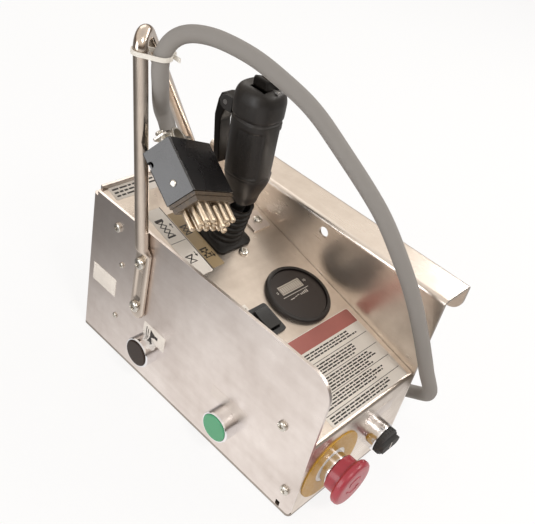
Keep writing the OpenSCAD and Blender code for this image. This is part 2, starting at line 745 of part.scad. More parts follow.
grip_p = 0.72;
module joystick_grip() color([0.09, 0.09, 0.10]) {
    difference() {
        on_grip() loft(grip_table(), grip_p, 32);
        on_stick() translate([0, 0, stick_len - over * 6]) cylinder(d = stick_d + bolt_clear, h =
            grip_bore + over * 6);
        // well of the thumb rocker
        on_grip() translate([0, thumb_y, grip_h - thumb_well]) translate([0, 0, thumb_t / 2])
            cube([thumb_w + 4 * over, thumb_l + 2 * ear_gap, thumb_t + thumb_well * half_share], center
                = true);
        on_grip() translate([0, thumb_y, grip_h - thumb_pin_d - over * half_share]) rotate([90, 0, 0])
            cylinder(d = thumb_pin_d + 2 * run_gap, h = thumb_l + 4 * ear_t, center = true);
    }
}
module joystick_trigger() color([0.08, 0.08, 0.09]) {
    k = trig_w;
    on_grip() difference() {
        translate([-trig_w / 2, trig_y, trig_z]) rotate([90, 0, 90]) linear_extrude(trig_w)
            polygon([[-k * 0.42, k * 0.18], [-k * 0.3, k * 0.38], [k * 0.3, k * 0.44], [k * 0.72, k * 0.28],
                [k * 0.9, -k * 0.2], [k * 1.05, -k * 1.3], [k * 1.02, -k * 1.6], [k * 0.62, -k * 4.4],
                [k * 0.52, -k * 4.6], [k * 0.22, -k * 4.6], [k * 0.14, -k * 4.4], [k * 0.46, -k * 1.6],
                [k * 0.4, -k * 1.2], [k * 0.1, -k * 0.42], [-k * 0.25, -k * 0.38], [-k * 0.42, -k * 0.18]]);
        translate([0, trig_y, trig_z]) rotate([0, 90, 0])
            cylinder(d = trig_pin_d + 2 * run_gap, h = 2 * grip_a, center = true);
    }
}
// Forked bracket on the grip's back that carries the trigger
module trigger_bracket() color([0.12, 0.12, 0.13]) {
    back = grip_b * 1.06 + ear_gap / 2;
    on_grip() difference() {
        union() {
            translate([-trig_w / 2 - ear_gap - ear_t, back, trig_z - ear_r])
                cube([trig_w + 2 * ear_gap + 2 * ear_t, ear_base, 2 * ear_r]);
            for (sx = [-1, 1])
                translate([sx * (trig_w / 2 + ear_gap + ear_t / 2) - ear_t / 2, trig_y, trig_z])
                rotate([90, 0, 90]) linear_extrude(ear_t) polygon([[back - trig_y, -ear_r], [0, -ear_r],
                    [ear_r * 0.7, -ear_r * 0.7], [ear_r, 0], [ear_r * 0.7, ear_r * 0.7], [0, ear_r],
                        [back - trig_y, ear_r]]);
        }
        translate([0, trig_y, trig_z]) rotate([0, 90, 0])
            cylinder(d = trig_pin_d + 2 * run_gap, h = 2 * grip_a, center = true);
    }
}
module trigger_pin() color([0.7, 0.7, 0.7]) {
    on_grip() translate([0, trig_y, trig_z]) rotate([0, 90, 0])
        cylinder(d = trig_pin_d, h = trig_w + 2 * ear_gap + 2 * ear_t, center = true);
}
module thumb_rocker() color([0.11, 0.11, 0.12]) {
    on_grip() translate([0, thumb_y, grip_h - thumb_pin_d - over * half_share]) rotate([90, 0, 0])
        difference() {
        linear_extrude(thumb_l, center = true) polygon([[-thumb_w * 0.2, -thumb_pin_d], [thumb_w * 0.2,
            -thumb_pin_d],
            [thumb_w / 2, thumb_pin_d * half_share], [thumb_w / 2, thumb_t * 0.95], [thumb_w * 0.42,
                thumb_t * 1.1],
            [0, thumb_t * 0.85], [-thumb_w * 0.42, thumb_t * 1.1], [-thumb_w / 2, thumb_t * 0.95],
            [-thumb_w / 2, thumb_pin_d * half_share]]);
        cylinder(d = thumb_pin_d + 2 * run_gap, h = 2 * thumb_l, center = true);
    }
}
module thumb_pin() color([0.7, 0.7, 0.7]) {
    on_grip() translate([0, thumb_y, grip_h - thumb_pin_d - over * half_share]) rotate([90, 0, 0])
        cylinder(d = thumb_pin_d, h = thumb_l + 4 * ear_t - over, center = true);
}

// The gauge

module gauge_case() color([0.09, 0.09, 0.10]) {
    on_panel(gauge_u, gauge_v) difference() {
        rotate_extrude($fn = 96) polygon([[0, -gauge_depth], [gauge_body_d / 2 - over, -gauge_depth],
            [gauge_body_d / 2, -gauge_depth + over], [gauge_body_d / 2, 0], [gauge_d / 2, 0],
            [gauge_d / 2, gauge_h * 0.55], [gauge_d / 2 - over, gauge_h * 0.9], [gauge_d / 2 - 2 *
                over, gauge_h],
            [lens_d / 2 + sheet_gap, gauge_h], [lens_d / 2 + sheet_gap, gauge_h * 0.3], [0, gauge_h *
                0.3]]);
        translate([window_u, window_v, gauge_h * 0.3]) cube([window_w, window_h, 2 * over], center = true);
        for (sx = [-1, 1]) translate([sx * stud_x, 0, -gauge_depth - over])
            cylinder(d = stud_d, h = stud_d);
    }
}
module gauge_lens() color([0.12, 0.12, 0.13]) {
    on_panel(gauge_u, gauge_v) translate([0, 0, gauge_h * 0.3]) difference() {
        cylinder(d = lens_d, h = lens_t, $fn = 96);
        translate([window_u, window_v, 0]) cube([window_w, window_h, 4 * lens_t], center = true);
    }
}
// Bracket behind the gauge: a bridge with two legs to the panel, and studs
module gauge_clamp() color([0.70, 0.70, 0.70]) {
    on_panel(gauge_u, gauge_v) union() {
        difference() {
            translate([0, 0, -gauge_depth - clamp_t * 2]) cube([rim_d * 0.8 + 2 * stud_x, rim_d * 0.8,
                clamp_t], center = true);
        }
        for (sy = [-1, 1]) {
            translate([0, sy * (gauge_body_d / 2 + clamp_t), -sheet_t - gauge_depth / 2 - clamp_t * 0.75])
                cube([rim_d * 0.8, clamp_t, gauge_depth + clamp_t * 1.5], center = true);
        }
        translate([0, 0, -gauge_depth - clamp_t * 2])
            cube([rim_d * 0.8, gauge_body_d + 3 * clamp_t, clamp_t], center = true);
        for (sx = [-1, 1]) translate([sx * stud_x, 0, -gauge_depth - clamp_t * 4]) {
            cylinder(d = stud_d - bolt_clear, h = clamp_t * 4 + stud_d - over);
            cylinder(d = 2 * stud_d, h = clamp_t * 2.5, $fn = 6);
        }
    }
}

// The rocker

module rocker_frame() color([0.08, 0.08, 0.09]) {
    on_panel(rocker_u, rocker_v) difference() {
        union() {
            linear_extrude(rocker_rim) round_rect(rocker_w, rocker_l, rocker_rim);
            translate([-(rocker_w - 2 * rocker_rim) / 2, -(rocker_body_l - rocker_rim) / 2, -rocker_depth])
                cube([rocker_w - 2 * rocker_rim, rocker_body_l - rocker_rim, rocker_depth]);
            for (i = [-1:1]) translate([0, i * rocker_l / 4, -rocker_depth - blade_l / 2])
                cube([blade_w, blade_t, blade_l + over], center = true);
        }
        translate([0, 0, -rocker_depth / 4 + rocker_rim]) cube([rocker_w - 2 * rocker_rim - 2 * rocker_wall,
            rocker_body_l - rocker_rim - 2 * rocker_wall, rocker_depth / 2 + rocker_rim], center = true);
        rotate([0, 90, 0]) cylinder(d = rocker_pin_d + 2 * run_gap, h = rocker_w - 2 * rocker_rim -
            rocker_wall, center = true);
    }
}
paddle_w = rocker_w - 2 * rocker_rim - 2 * rocker_wall - 2 * sheet_gap;
paddle_l = rocker_body_l - rocker_rim - 2 * rocker_wall - 2 * over;
module rocker_paddle() color([0.03, 0.03, 0.03]) {
    on_panel(rocker_u, rocker_v) union() {
        rotate([0, 90, 0]) cylinder(d = rocker_pin_d, h = rocker_w - 2 * rocker_rim - rocker_wall -
            over, center = true);
        translate([-paddle_w / 2, 0, 0]) rotate([90, 0, 90]) linear_extrude(paddle_w)
            difference() {
                polygon([[-paddle_l * 0.3, -rocker_pin_d * 1.2], [paddle_l * 0.3, -rocker_pin_d * 1.2],
                    [paddle_l * 0.49, rocker_rim], [paddle_l * 0.5, paddle_rise * 0.95], [paddle_l *
                        0.45, paddle_rise],
                    [-paddle_l * 0.45, paddle_rise], [-paddle_l * 0.5, paddle_rise * 0.95], [-paddle_l
                        * 0.49, rocker_rim]]);
                translate([0, paddle_rise * 0.72 + 2.2 * paddle_r]) circle(r = 2.2 * paddle_r, $fn = 96);
            }
    }
}

// The buttons

// Chrome bezel with its threaded sleeve; the plate's outer face is z = 0
module bezel(d, h, cup_d, floor_z) {
    rotate_extrude() polygon([[plunger_d / 2 + run_gap, -sleeve_l], [sleeve_d / 2, -sleeve_l],
        [sleeve_d / 2, 0], [d / 2, 0], [d / 2, h - over], [d / 2 - over * half_share, h], [cup_d / 2, h],
        [cup_d / 2, floor_z], [plunger_d / 2 + run_gap, floor_z]]);
}
module push_cap(h) {
    rotate_extrude() polygon([[0, -sleeve_l + over * 4], [plunger_d / 2, -sleeve_l + over * 4],
        [plunger_d / 2, h - cap_t],
        [cap_d / 2, h - cap_t], [cap_d / 2, h - over * half_share], [cap_d / 2 - over, h], [0, h]]);
}
// Locking nut, latch ring and contact block behind the plate of thickness t
module contact_block(t) {
    difference() {
        union() {
            translate([0, 0, -t - hex_h]) hex(hex_d, hex_h);
            translate([0, 0, -sleeve_l - block_seat]) cylinder(d = hex_d * 0.93, h = sleeve_l +
                block_seat - t - hex_h);
            translate([0, 0, -sleeve_l - block_seat / 2 - block_l / 2]) cube([block_w, block_w,
                block_l], center = true);
            // terminal screws' cheeks
            for (sx = [-1, 1]) translate([sx * (block_w / 2), 0, -sleeve_l - block_seat / 2 - block_l *
                0.7])
                cube([over * 2, block_w * 0.7, block_l * 0.35], center = true);
        }
        translate([0, 0, -sleeve_l]) cylinder(d = sleeve_d + bolt_clear, h = sleeve_l + over);
        translate([0, 0, -sleeve_l - block_seat]) cylinder(d = plunger_d + bolt_clear, h = block_seat +
            over);
    }
}
module horn_bezel() color([0.80, 0.80, 0.82]) { on_left(horn_y, horn_z) bezel(bezel_d, bezel_h, cap_d +
    ring_gap, bezel_h / 4); }
module horn_cap() color([0.14, 0.12, 0.11]) { on_left(horn_y, horn_z) push_cap(bezel_h + cap_proud); }
module horn_block() color([0.20, 0.20, 0.21]) { on_left(horn_y, horn_z) contact_block(sheet_t); }
module enable_bezel() color([0.80, 0.80, 0.82]) { on_left(enable_y, enable_z) bezel(bezel_d, bezel_h,
    cap_d + ring_gap, bezel_h / 4); }
module enable_cap() color([0.20, 0.52, 0.30]) { on_left(enable_y, enable_z) push_cap(bezel_h + cap_proud); }
module enable_block() color([0.20, 0.20, 0.21]) { on_left(enable_y, enable_z) contact_block(sheet_t); }

// The front

module estop_legend() color([0.85, 0.68, 0.20]) {
    on_front(stop_x, stop_z) rotate_extrude($fn = 96) polygon([[sleeve_d / 2 + bolt_clear, 0],
        [legend_d / 2, 0],
        [legend_d / 2, legend_t], [legend_in_d / 2, legend_t], [legend_in_d / 2, legend_t * legend_step],
        [sleeve_d / 2 + bolt_clear, legend_t * legend_step]]);
}
module estop_collar() color([0.80, 0.80, 0.82]) {
    on_front(stop_x, stop_z) translate([0, 0, legend_t * legend_step])
        bezel(bezel_d, collar_h - legend_t * legend_step, plunger_d + 2 * run_gap, collar_h - legend_t
            * legend_step);
}
module estop_plunger() color([0.30, 0.30, 0.31]) {
    on_front(stop_x, stop_z) union() {
        translate([0, 0, -sleeve_l + over * 3])
            cylinder(d = plunger_d, h = sleeve_l + head_floor - sheet_gap - over * 3);
        translate([0, 0, collar_h]) cylinder(d = spigot_d, h = head_floor + spigot_l - collar_h);
    }
}
module estop_head() color([0.72, 0.10, 0.09]) {
    on_front(stop_x, stop_z) rotate_extrude($fn = 96) polygon([[0, head_floor + spigot_l + ring_gap],
        [spigot_d / 2 + run_gap, head_floor + spigot_l + ring_gap], [spigot_d / 2 + run_gap, head_floor],
        [bezel_d / 2 + ring_gap, head_floor], [bezel_d / 2 + ring_gap, skirt_z],
        [skirt_d / 2, skirt_z], [skirt_d / 2, stop_z0], [stop_d / 2 - over, stop_z0],
        [stop_d / 2, stop_z0 + stop_h * 0.2], [stop_d / 2, stop_z0 + stop_h * 0.62],
        [stop_d / 2 * 0.965, stop_z0 + stop_h * 0.82], [stop_d / 2 * 0.89, stop_z0 + stop_h * 0.95],
        [stop_d / 2 * 0.76, stop_z0 + stop_h], [0, stop_z0 + stop_h]]);
}
module estop_block() color([0.20, 0.20, 0.21]) {
    on_front(stop_x, stop_z) contact_block(sheet_t);
}
module selector_bezel() color([0.80, 0.80, 0.82]) {
    on_front(select_x, select_z) bezel(bezel_d - over, bezel_h - over, knob_d - over * half_share,
        bezel_h / 4);
}
module selector_knob() color([0.07, 0.07, 0.08]) {
    on_front(select_x, select_z) union() {
        rotate_extrude() polygon([[0, -sleeve_l + over * 3], [plunger_d / 2, -sleeve_l + over * 3],
            [plunger_d / 2, bezel_h / 4 + over],
            [knob_d / 2 - over, bezel_h / 4 + over], [knob_d / 2 - over, bezel_h], [knob_d / 2, bezel_h],
            [knob_d / 2, bezel_h + over * 2], [knob_d / 2 - over * half_share, knob_z - over * 3], [0,
                knob_z - over * 3]]);
        // raised bar with lobed ends
        translate([0, 0, bezel_h]) linear_extrude(knob_z - bezel_h) union() {
            square([knob_d * 0.62, bar_w], center = true);
            for (sx = [-1, 1]) translate([sx * knob_d * 0.31, 0]) circle(d = bar_w);
        }
    }
}
module selector_block() color([0.20, 0.20, 0.21]) {
    on_front(select_x, select_z) contact_block(sheet_t);
}

// The cable

module cable_gland() color([0.12, 0.12, 0.13]) {
    on_right(gland_y, gland_z) difference() {
        union() {
            hex(gland_hex_d, gland_hex_h);
            translate([0, 0, -gland_in]) cylinder(d = gland_neck_d, h = gland_in + over);
            rotate_extrude() polygon([[0, gland_hex_h - over], [gland_d / 2, gland_hex_h - over],
                [gland_d / 2, gland_out * 0.7],
                [gland_d / 2 * 0.92, gland_out * 0.9], [cable_d / 2 + 2 * over, gland_out], [0,
                    gland_out]]);
        }
        translate([0, 0, -gland_in - over]) cylinder(d = cable_d - 2 * over, h = gland_in + over +
            gland_out * 0.8);
    }
}
module gland_nut() color([0.14, 0.14, 0.15]) {
    on_right(gland_y, gland_z) translate([0, 0, -sheet_t - gland_hex_h]) difference() {
        hex(gland_hex_d, gland_hex_h - over * 2);
        translate([0, 0, -over]) cylinder(d = gland_neck_d + bolt_clear, h = gland_hex_h + 2 * over);
    }
    on_right(gland_y, gland_z) translate([0, 0, -sheet_t - 2 * over]) difference() {
        cylinder(d = gland_hex_d, h = 2 * over);
        translate([0, 0, -over]) cylinder(d = gland_neck_d + bolt_clear, h = 4 * over);
    }
}
cable_n = 12;
cable_line = concat([for (i = [0:len(cable_pts) - 2]) for (t = i < 9 || i > 13 ? [0, 0.5] : [0, 0.33, 0.66])
    through(cable_pts, i, t)], [cable_pts[len(cable_pts) - 1]]);
// the plug's own upward direction, which the cable's end runs against
plug_axis = [
    sin(plug_turn[2]) * sin(plug_turn[0]) + cos(plug_turn[2]) * sin(plug_turn[1]) * cos(plug_turn[0]),
    -cos(plug_turn[2]) * sin(plug_turn[0]) + sin(plug_turn[2]) * sin(plug_turn[1]) * cos(plug_turn[0]),
    cos(plug_turn[1]) * cos(plug_turn[0])];
function cable_dir(i) = i == 0 ? [1, 0, 0] : i == len(cable_line) - 1 ? -plug_axis :
    unit(unit(cable_line[i + 1] - cable_line[i]) + unit(cable_line[i] - cable_line[i - 1]));
module cable() color([0.42, 0.40, 0.39]) {
    skin([for (i = [0:len(cable_line) - 1]) let (t = unit(cable_dir(i)), fr = tube_frame(t, [0.45,
        0.45, 0.77]))
        ring(cable_line[i], fr[0] * cable_d / 2, fr[1] * cable_d / 2, 1, cable_n)]);
}
// Tie round the handle's leg and the cable
function mid(v) = (v[0] + v[1]) / 2;
function at_height(a, b, z) = a + (b - a) * (z - a[2]) / (b[2] - a[2]);
tie_leg = at_height(lean_l, apex, tie_z);
tie_cable = [-63.4, 72.2];
module tie_outline(g) {
    hull() {
        translate([tie_leg[0], tie_leg[1]]) circle(d = tube_d + 2 * g);
        translate(tie_cable) circle(d = cable_d + 2 * g);
    }
}
module cable_tie() color([0.86, 0.84, 0.80]) {
    translate([0, 0, tie_z - tie_h / 2]) union() {
        linear_extrude(tie_h) difference() {
            tie_outline(tie_gap + tie_t);
            tie_outline(tie_gap);
        }
        // the tie's head
        translate([tie_cable[0] + cable_d / 2 + tie_gap, tie_cable[1] - tie_h * 0.6, -over * half_share])
            cube([tie_h, tie_h * 1.2, tie_h + over]);
    }
}

// The connector

module plug_cap() color([0.12, 0.12, 0.13]) {
    on_plug() difference() {
        translate([0, 0, -plug_l]) linear_extrude(plug_l) translate([plug_w / 2, plug_t / 2])
            round_rect(plug_w, plug_t, over);
        translate([cap_wall, cap_wall, -plug_l - over]) cube([plug_w - 2 * cap_wall, plug_t - 2 *
            cap_wall, plug_l + over - cap_wall]);
        // cable entry and notches
        translate([plug_w / 2, plug_t / 2, -over * 3]) cylinder(d = cable_d + over, h = over * 4);
        for (sx = [0, 1]) translate([sx * plug_w, plug_t * 0.5, -plug_l * 0.72]) rotate([0, 90, 0])
            cylinder(d = plug_rivet_d, h = 3 * cap_wall, center = true);
        for (sx = [0, 1]) translate([sx * plug_w, plug_t * 0.92, -plug_l * 0.25]) rotate([0, 90, 0])
            cylinder(d = plug_rivet_d * 1.4, h = 3 * cap_wall, center = true);
    }
}
module plug_insulator() color([0.40, 0.36, 0.32]) {
    on_plug() difference() {
        union() {
            translate([cap_wall + sheet_gap, cap_wall + sheet_gap, -plug_l - lip_out]) cube([plug_w - 2
                * cap_wall - 2 * sheet_gap,
                plug_t - 2 * cap_wall - 2 * sheet_gap, plug_l + lip_out - clamp_h]);
            translate([insul_step, insul_step, -plug_l - lip_out]) cube([plug_w - 2 * insul_step,
                plug_t - 2 * insul_step, lip_out - sheet_gap]);
            translate([2 * insul_step, 2 * insul_step, -plug_l - insul_out]) cube([plug_w - 4 *
                insul_step, plug_t - 4 * insul_step, insul_out]);
        }
        translate([0, 0, -plug_l - insul_out]) poles(bolt_clear / 2, 1);
        for (sx = [0, 1]) translate([sx * plug_w, plug_t * 0.5, -plug_l * 0.72]) rotate([0, 90, 0])
            cylinder(d = plug_rivet_d, h = 2 * rim_d, center = true);
    }
}
// Round-tipped flat blades in rows; g grows them for their slots
module poles(g, deep) {
    for (r = [0:blade_rows - 1], c = [0:blade_cols - 1]) let (
        out = (c == 2 && r == 0) || (c == 3 && r == 1) ? pole_long : pole_out,
        x = plug_w * (0.16 + 0.68 * c / (blade_cols - 1)) + (r % 2) * pole_w * 0.4,
        y = plug_t * (0.25 + 0.5 * r / (blade_rows - 1)))
        translate([x, y + pole_t / 2 + g, 0]) rotate([90, 0, 0]) linear_extrude(pole_t + 2 * g) union() {
            translate([-pole_w / 2 - g, -out + pole_w / 2]) square([pole_w + 2 * g, out - pole_w / 2 +
                pole_out]);
            translate([0, -out + pole_w / 2]) circle(d = pole_w);
        }
}
module plug_blades() color([0.80, 0.76, 0.70]) {
    on_plug() translate([0, 0, -plug_l - insul_out]) poles(0, 1);
}
module plug_clamp() color([0.70, 0.70, 0.68]) {
    on_plug() difference() {
        union() {
            translate([plug_w / 2, plug_t / 2, clamp_len / 2]) cube([clamp_w, plug_t * 0.75,
                clamp_len], center = true);
            for (sx = [-1, 1]) translate([plug_w / 2 + sx * (clamp_w / 2 + clamp_wing / 2), plug_t / 2,
                clamp_t / 2])
                cube([clamp_wing, plug_t * 0.7, clamp_t], center = true);
            for (sx = [-1, 1]) translate([plug_w / 2 + sx * (clamp_w / 2 + clamp_wing / 2), plug_t / 2,
                clamp_len * 0.62])
                cube([clamp_wing, plug_t * 0.36, clamp_t * 2], center = true);
        }
        translate([plug_w / 2, plug_t / 2, -over]) cylinder(d = cable_d - 2 * over, h = clamp_len * 0.8);
        for (sx = [-1, 1]) translate([plug_w / 2 + sx * (clamp_w / 2 + clamp_wing * 0.55), plug_t / 2,
            -over])
            cylinder(d = small_screw_d + bolt_clear, h = clamp_len + 2 * over);
    }
}
module plug_screws() color([0.82, 0.82, 0.80]) {
    on_plug() {
        for (sx = [-1, 1]) translate([plug_w / 2 + sx * (clamp_w / 2 + clamp_wing * 0.55), plug_t / 2,
            clamp_len * 0.62 + clamp_t])
            screw(small_screw_d, clamp_len * 0.62 + clamp_t - sheet_gap, small_head_d + over, small_head_h);
        for (sx = [0, 1]) translate([sx * plug_w, plug_t * 0.5, -plug_l * 0.72]) rotate([0, sx * 180 -
            90, 0])
            screw(plug_rivet_d - bolt_clear, cap_wall + over * 5, plug_rivet_d + over, over);
    }
}

// The inside

module control_board() color([0.10, 0.35, 0.20]) {
    difference() {
        union() {
            translate([board_x[0], board_y[0], board_z]) cube([board_x[1] - board_x[0], board_y[1] -
                board_y[0], board_t]);
            for (i = [0:3]) translate([board_x[0] + relay_w * half_share, board_y[0] + relay_w * (0.75
                + i * 1.6), board_z + board_t - over * 0.1])
                cube([relay_w, relay_w * 1.2, relay_h]);
            translate([board_x[1] - relay_w * 1.2, board_y[0] + relay_w, board_z + board_t - over * 0.1])
                cube([relay_w * 0.6, relay_w * 4, relay_h * 0.7]);
        }
        for (x = board_x, y = board_y) translate([x + sign(mid(board_x) - x) * standoff_d, y +
            sign(mid(board_y) - y) * standoff_d, board_z - over])
            cylinder(d = small_screw_d + bolt_clear, h = board_t + 2 * over);
    }
}
module board_standoffs() color([0.75, 0.75, 0.75]) {
    for (x = board_x, y = board_y) translate([x + sign(mid(board_x) - x) * standoff_d, y +
        sign(mid(board_y) - y) * standoff_d, 0]) {
        translate([0, 0, sheet_t]) cylinder(d = standoff_d, h = board_z - sheet_t, $fn = 6);
        translate([0, 0, board_z - over]) cylinder(d = small_screw_d, h = board_t + 2 * over);
        translate([0, 0, board_z + board_t]) cylinder(d = small_head_d, h = small_head_h);
    }
}
module terminal_strip() color([0.22, 0.22, 0.23]) {
    difference() {
        translate([-x_in, strip_y[0], strip_z[0]]) cube([strip_t, strip_y[1] - strip_y[0], strip_z[1] -
            strip_z[0]]);
        for (s = strip_screws) on_left(s[0], s[1]) drill(small_screw_d + bolt_clear);
        for (i = [1:strip_slots]) translate([-x_in + strip_t * 0.6,
            strip_y[0] - over, strip_z[0] + (strip_z[1] - strip_z[0]) * (i + 0.3) / (strip_slots + 1.6)])
            cube([strip_t, strip_y[1] - strip_y[0] + 2 * over, strip_slot]);
    }
}

side_shell();
hook_plate();
bottom_cover();
control_panel();
guard_handle();
handle_bolts();
handle_nuts();
side_screws();
bottom_screws();
panel_screws();
joystick_body();
joystick_strap();
joystick_boot();
joystick_shaft();
joystick_pin();
joystick_grip();
joystick_trigger();
trigger_bracket();
trigger_pin();
thumb_rocker();
thumb_pin();
gauge_case();
gauge_lens();
gauge_clamp();
rocker_frame();
rocker_paddle();
horn_bezel();
horn_cap();
horn_block();
enable_bezel();
enable_cap();
enable_block();
estop_legend();
estop_collar();
estop_plunger();
estop_head();
estop_block();
selector_bezel();
selector_knob();
selector_block();
cable_gland();
gland_nut();
cable();
cable_tie();
plug_cap();
plug_insulator();
plug_blades();
plug_clamp();
plug_screws();
control_board();
board_standoffs();
terminal_strip();
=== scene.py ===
"""A scissor lift's control box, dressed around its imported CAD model.

Everything stands in the part's own frame: the origin is the middle of the underside, +Z is up, the
front with the stop button looks along -Y and the side with the hook looks along +X. Sizes are
written in millimetres, as on the part's drawing, and become metres in Place and Shape.
"""

import logging
import math
import random
from dataclasses import dataclass
from enum import Enum
from typing import Sequence

import bmesh
import bpy
from mathutils import Euler, Matrix, Vector


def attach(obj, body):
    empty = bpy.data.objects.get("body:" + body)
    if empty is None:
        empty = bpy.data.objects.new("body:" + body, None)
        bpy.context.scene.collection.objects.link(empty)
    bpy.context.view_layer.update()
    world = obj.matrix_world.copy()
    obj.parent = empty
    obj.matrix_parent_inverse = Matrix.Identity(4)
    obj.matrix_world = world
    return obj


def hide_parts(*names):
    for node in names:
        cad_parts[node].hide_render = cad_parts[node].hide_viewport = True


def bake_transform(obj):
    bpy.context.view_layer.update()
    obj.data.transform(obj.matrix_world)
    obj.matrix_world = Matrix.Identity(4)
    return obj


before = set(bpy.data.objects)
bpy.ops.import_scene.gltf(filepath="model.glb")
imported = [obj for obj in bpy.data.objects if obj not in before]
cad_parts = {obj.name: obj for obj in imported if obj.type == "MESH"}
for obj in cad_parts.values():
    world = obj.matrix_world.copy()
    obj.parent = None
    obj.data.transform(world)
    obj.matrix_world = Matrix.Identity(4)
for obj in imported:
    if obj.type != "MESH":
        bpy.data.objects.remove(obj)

LOG = logging.getLogger("control_box")
MM = 0.001
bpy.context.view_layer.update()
Point = tuple[float, float, float]
Pair = tuple[float, float]
Colour = tuple[float, float, float, float]

# The body's sizes, as in the part's source
BODY_HALF_W = 65.0
BODY_HALF_L = 132.5
FRONT_H = 82.5


# Colours and finishes


def srgb(red: float, green: float, blue: float) -> Colour:
    """Turns a colour as it looks on a screen, 0 to 255, into the linear one that a shader takes.

    Args:
        red, green, blue: the channels, 0 to 255.

    Returns:
        Linear red, green, blue and an alpha of one.
    """
    def linear(value: float) -> float:
        """One channel, linear."""
        share = value / 255
        return share / 12.92 if share <= 0.04045 else ((share + 0.055) / 1.055) ** 2.4
    return linear(red), linear(green), linear(blue), 1.0


class Nodes:
    """A short way to add and join the nodes of one tree."""

    def __init__(self, tree: bpy.types.NodeTree) -> None:
        """Keeps the tree."""
        self.tree = tree

    def add(self, kind: str, settings: dict[str, object] | None = None, **inputs: object) -> bpy.types.Node:
        """Adds a node.

        Args:
            kind: the node's type name.
            settings: properties of the node itself.
            inputs: socket values or output sockets to join, by socket name with _ for a space, or
                by place as s0, s1 and so on.

        Returns:
            The node.
        """
        made = self.tree.nodes.new(kind)
        for key, value in (settings or {}).items():
            setattr(made, key, value)
        for key, value in inputs.items():
            name = key.replace("_", " ")
            place = key[1:]
            socket = made.inputs[int(place)] if key[0] == "s" and place.isdigit() else made.inputs[name]
            if isinstance(value, bpy.types.NodeSocket):
                self.tree.links.new(value, socket)
            else:
                socket.default_value = value
        return made

    def math(self, way: str, *values: float | bpy.types.NodeSocket) -> bpy.types.NodeSocket:
        """The result of one sum on numbers or sockets."""
        made = self.add("ShaderNodeMath", {"operation": way}, **{f"s{i}": v for i, v in enumerate(values)})
        return made.outputs[0]

    def vector(self, way: str, *values: tuple | bpy.types.NodeSocket) -> bpy.types.NodeSocket:
        """The result of one sum on vectors."""
        made = self.add("ShaderNodeVectorMath", {"operation": way},
                        **{f"s{i}": v for i, v in enumerate(values)})
        return made.outputs[0]

    def join(self, value: bpy.types.NodeSocket, node: bpy.types.Node, socket: str) -> None:
        """Joins a socket to a node's named input."""
        self.tree.links.new(value, node.inputs[socket])

    def weigh(self, *shares: tuple[bpy.types.NodeSocket, float]) -> bpy.types.NodeSocket:
        """The sum of some numbers, each times its share.

        Args:
            shares: pairs of a number and its share.

        Returns:
            The sum's socket.
        """
        total = self.math("MULTIPLY", *shares[0])
        for value, share in shares[1:]:
            total = self.math("MULTIPLY_ADD", value, share, total)
        return total

    def ramp(self, value: bpy.types.NodeSocket,
             stops: Sequence[tuple[float, Colour]]) -> bpy.types.NodeSocket:
        """A colour ramp over a number.

        Args:
            value: the number, 0 to 1.
            stops: places and their colours.

        Returns:
            The colour socket.
        """
        made = self.add("ShaderNodeValToRGB", s0=value)
        marks = made.color_ramp.elements
        marks[0].position, marks[0].color = stops[0]
        marks[1].position, marks[1].color = stops[-1]
        for place, colour in stops[1:-1]:
            mark = marks.new(place)
            mark.color = colour
        return made.outputs[0]

    def spread(self, value: bpy.types.NodeSocket, low: float, high: float,
               source: Pair = (0.0, 1.0)) -> bpy.types.NodeSocket:
        """A number moved from one range to another."""
        made = self.add("ShaderNodeMapRange", s0=value, s1=source[0], s2=source[1], s3=low, s4=high)
        return made.outputs[0]

    def noise(self, place: bpy.types.NodeSocket, scale: float, detail: float = 3.0,
              rough: float = 0.5) -> bpy.types.NodeSocket:
        """Plain noise, as a number of about a half."""
        made = self.add("ShaderNodeTexNoise", Vector=place, Scale=scale, Detail=detail, Roughness=rough)
        return made.outputs[0]


class Grain(Enum):
    """Which way the rolling or polishing marks of a metal run."""
    ALONG_X = (0.03, 1.0, 1.0)
    ALONG_Y = (1.0, 0.03, 1.0)
    ALONG_Z = (1.0, 1.0, 0.03)
    NONE = (1.0, 1.0, 1.0)


@dataclass(frozen=True)
class Finish:
    """What every finish has: a name, a main colour and how dull it is."""
    name: str
    colour: Colour
    dull: float = 0.5
    edge: float = 0.0

    def build(self) -> bpy.types.Material:
        """Makes the material, or gives the one made before.

        Returns:
            The material.
        """
        known = bpy.data.materials.get(self.name)
        if known is not None:
            return known
        made = bpy.data.materials.new(self.name)
        made.use_nodes = True
        made.diffuse_color = self.colour
        nodes = Nodes(made.node_tree)
        shader = made.node_tree.nodes["Principled BSDF"]
        shader.inputs["Base Color"].default_value = self.colour
        shader.inputs["Roughness"].default_value = self.dull
        place = nodes.add("ShaderNodeTexCoord").outputs["Object"]
        self.dress(nodes, shader, place)
        return made

    def dress(self, nodes: Nodes, shader: bpy.types.Node, place: bpy.types.NodeSocket) -> None:
        """Adds what is this finish's own."""

    def shaded(self, share: float, lift: float = 0.0) -> Colour:
        """The main colour times a share, and lifted a little."""
        return (*(min(1.0, c * share + lift) for c in self.colour[:3]), 1.0)

    def relief(self, nodes: Nodes, shader: bpy.types.Node, height: bpy.types.NodeSocket, strength: float,
               deep: float) -> None:
        """Joins a height to the normal, over edges that are softened a little.

        Args:
            nodes, shader: the material's tree and its shader.
            height: the relief's height, 0 to 1.
            strength: how much of it shows.
            deep: its depth in metres.
        """
        bump = nodes.add("ShaderNodeBump", Strength=strength, Distance=deep, Height=height)
        if self.edge:
            soft = nodes.add("ShaderNodeBevel", {"samples": 4}, Radius=self.edge * MM)
            nodes.join(soft.outputs[0], bump, "Normal")
        nodes.join(bump.outputs[0], shader, "Normal")


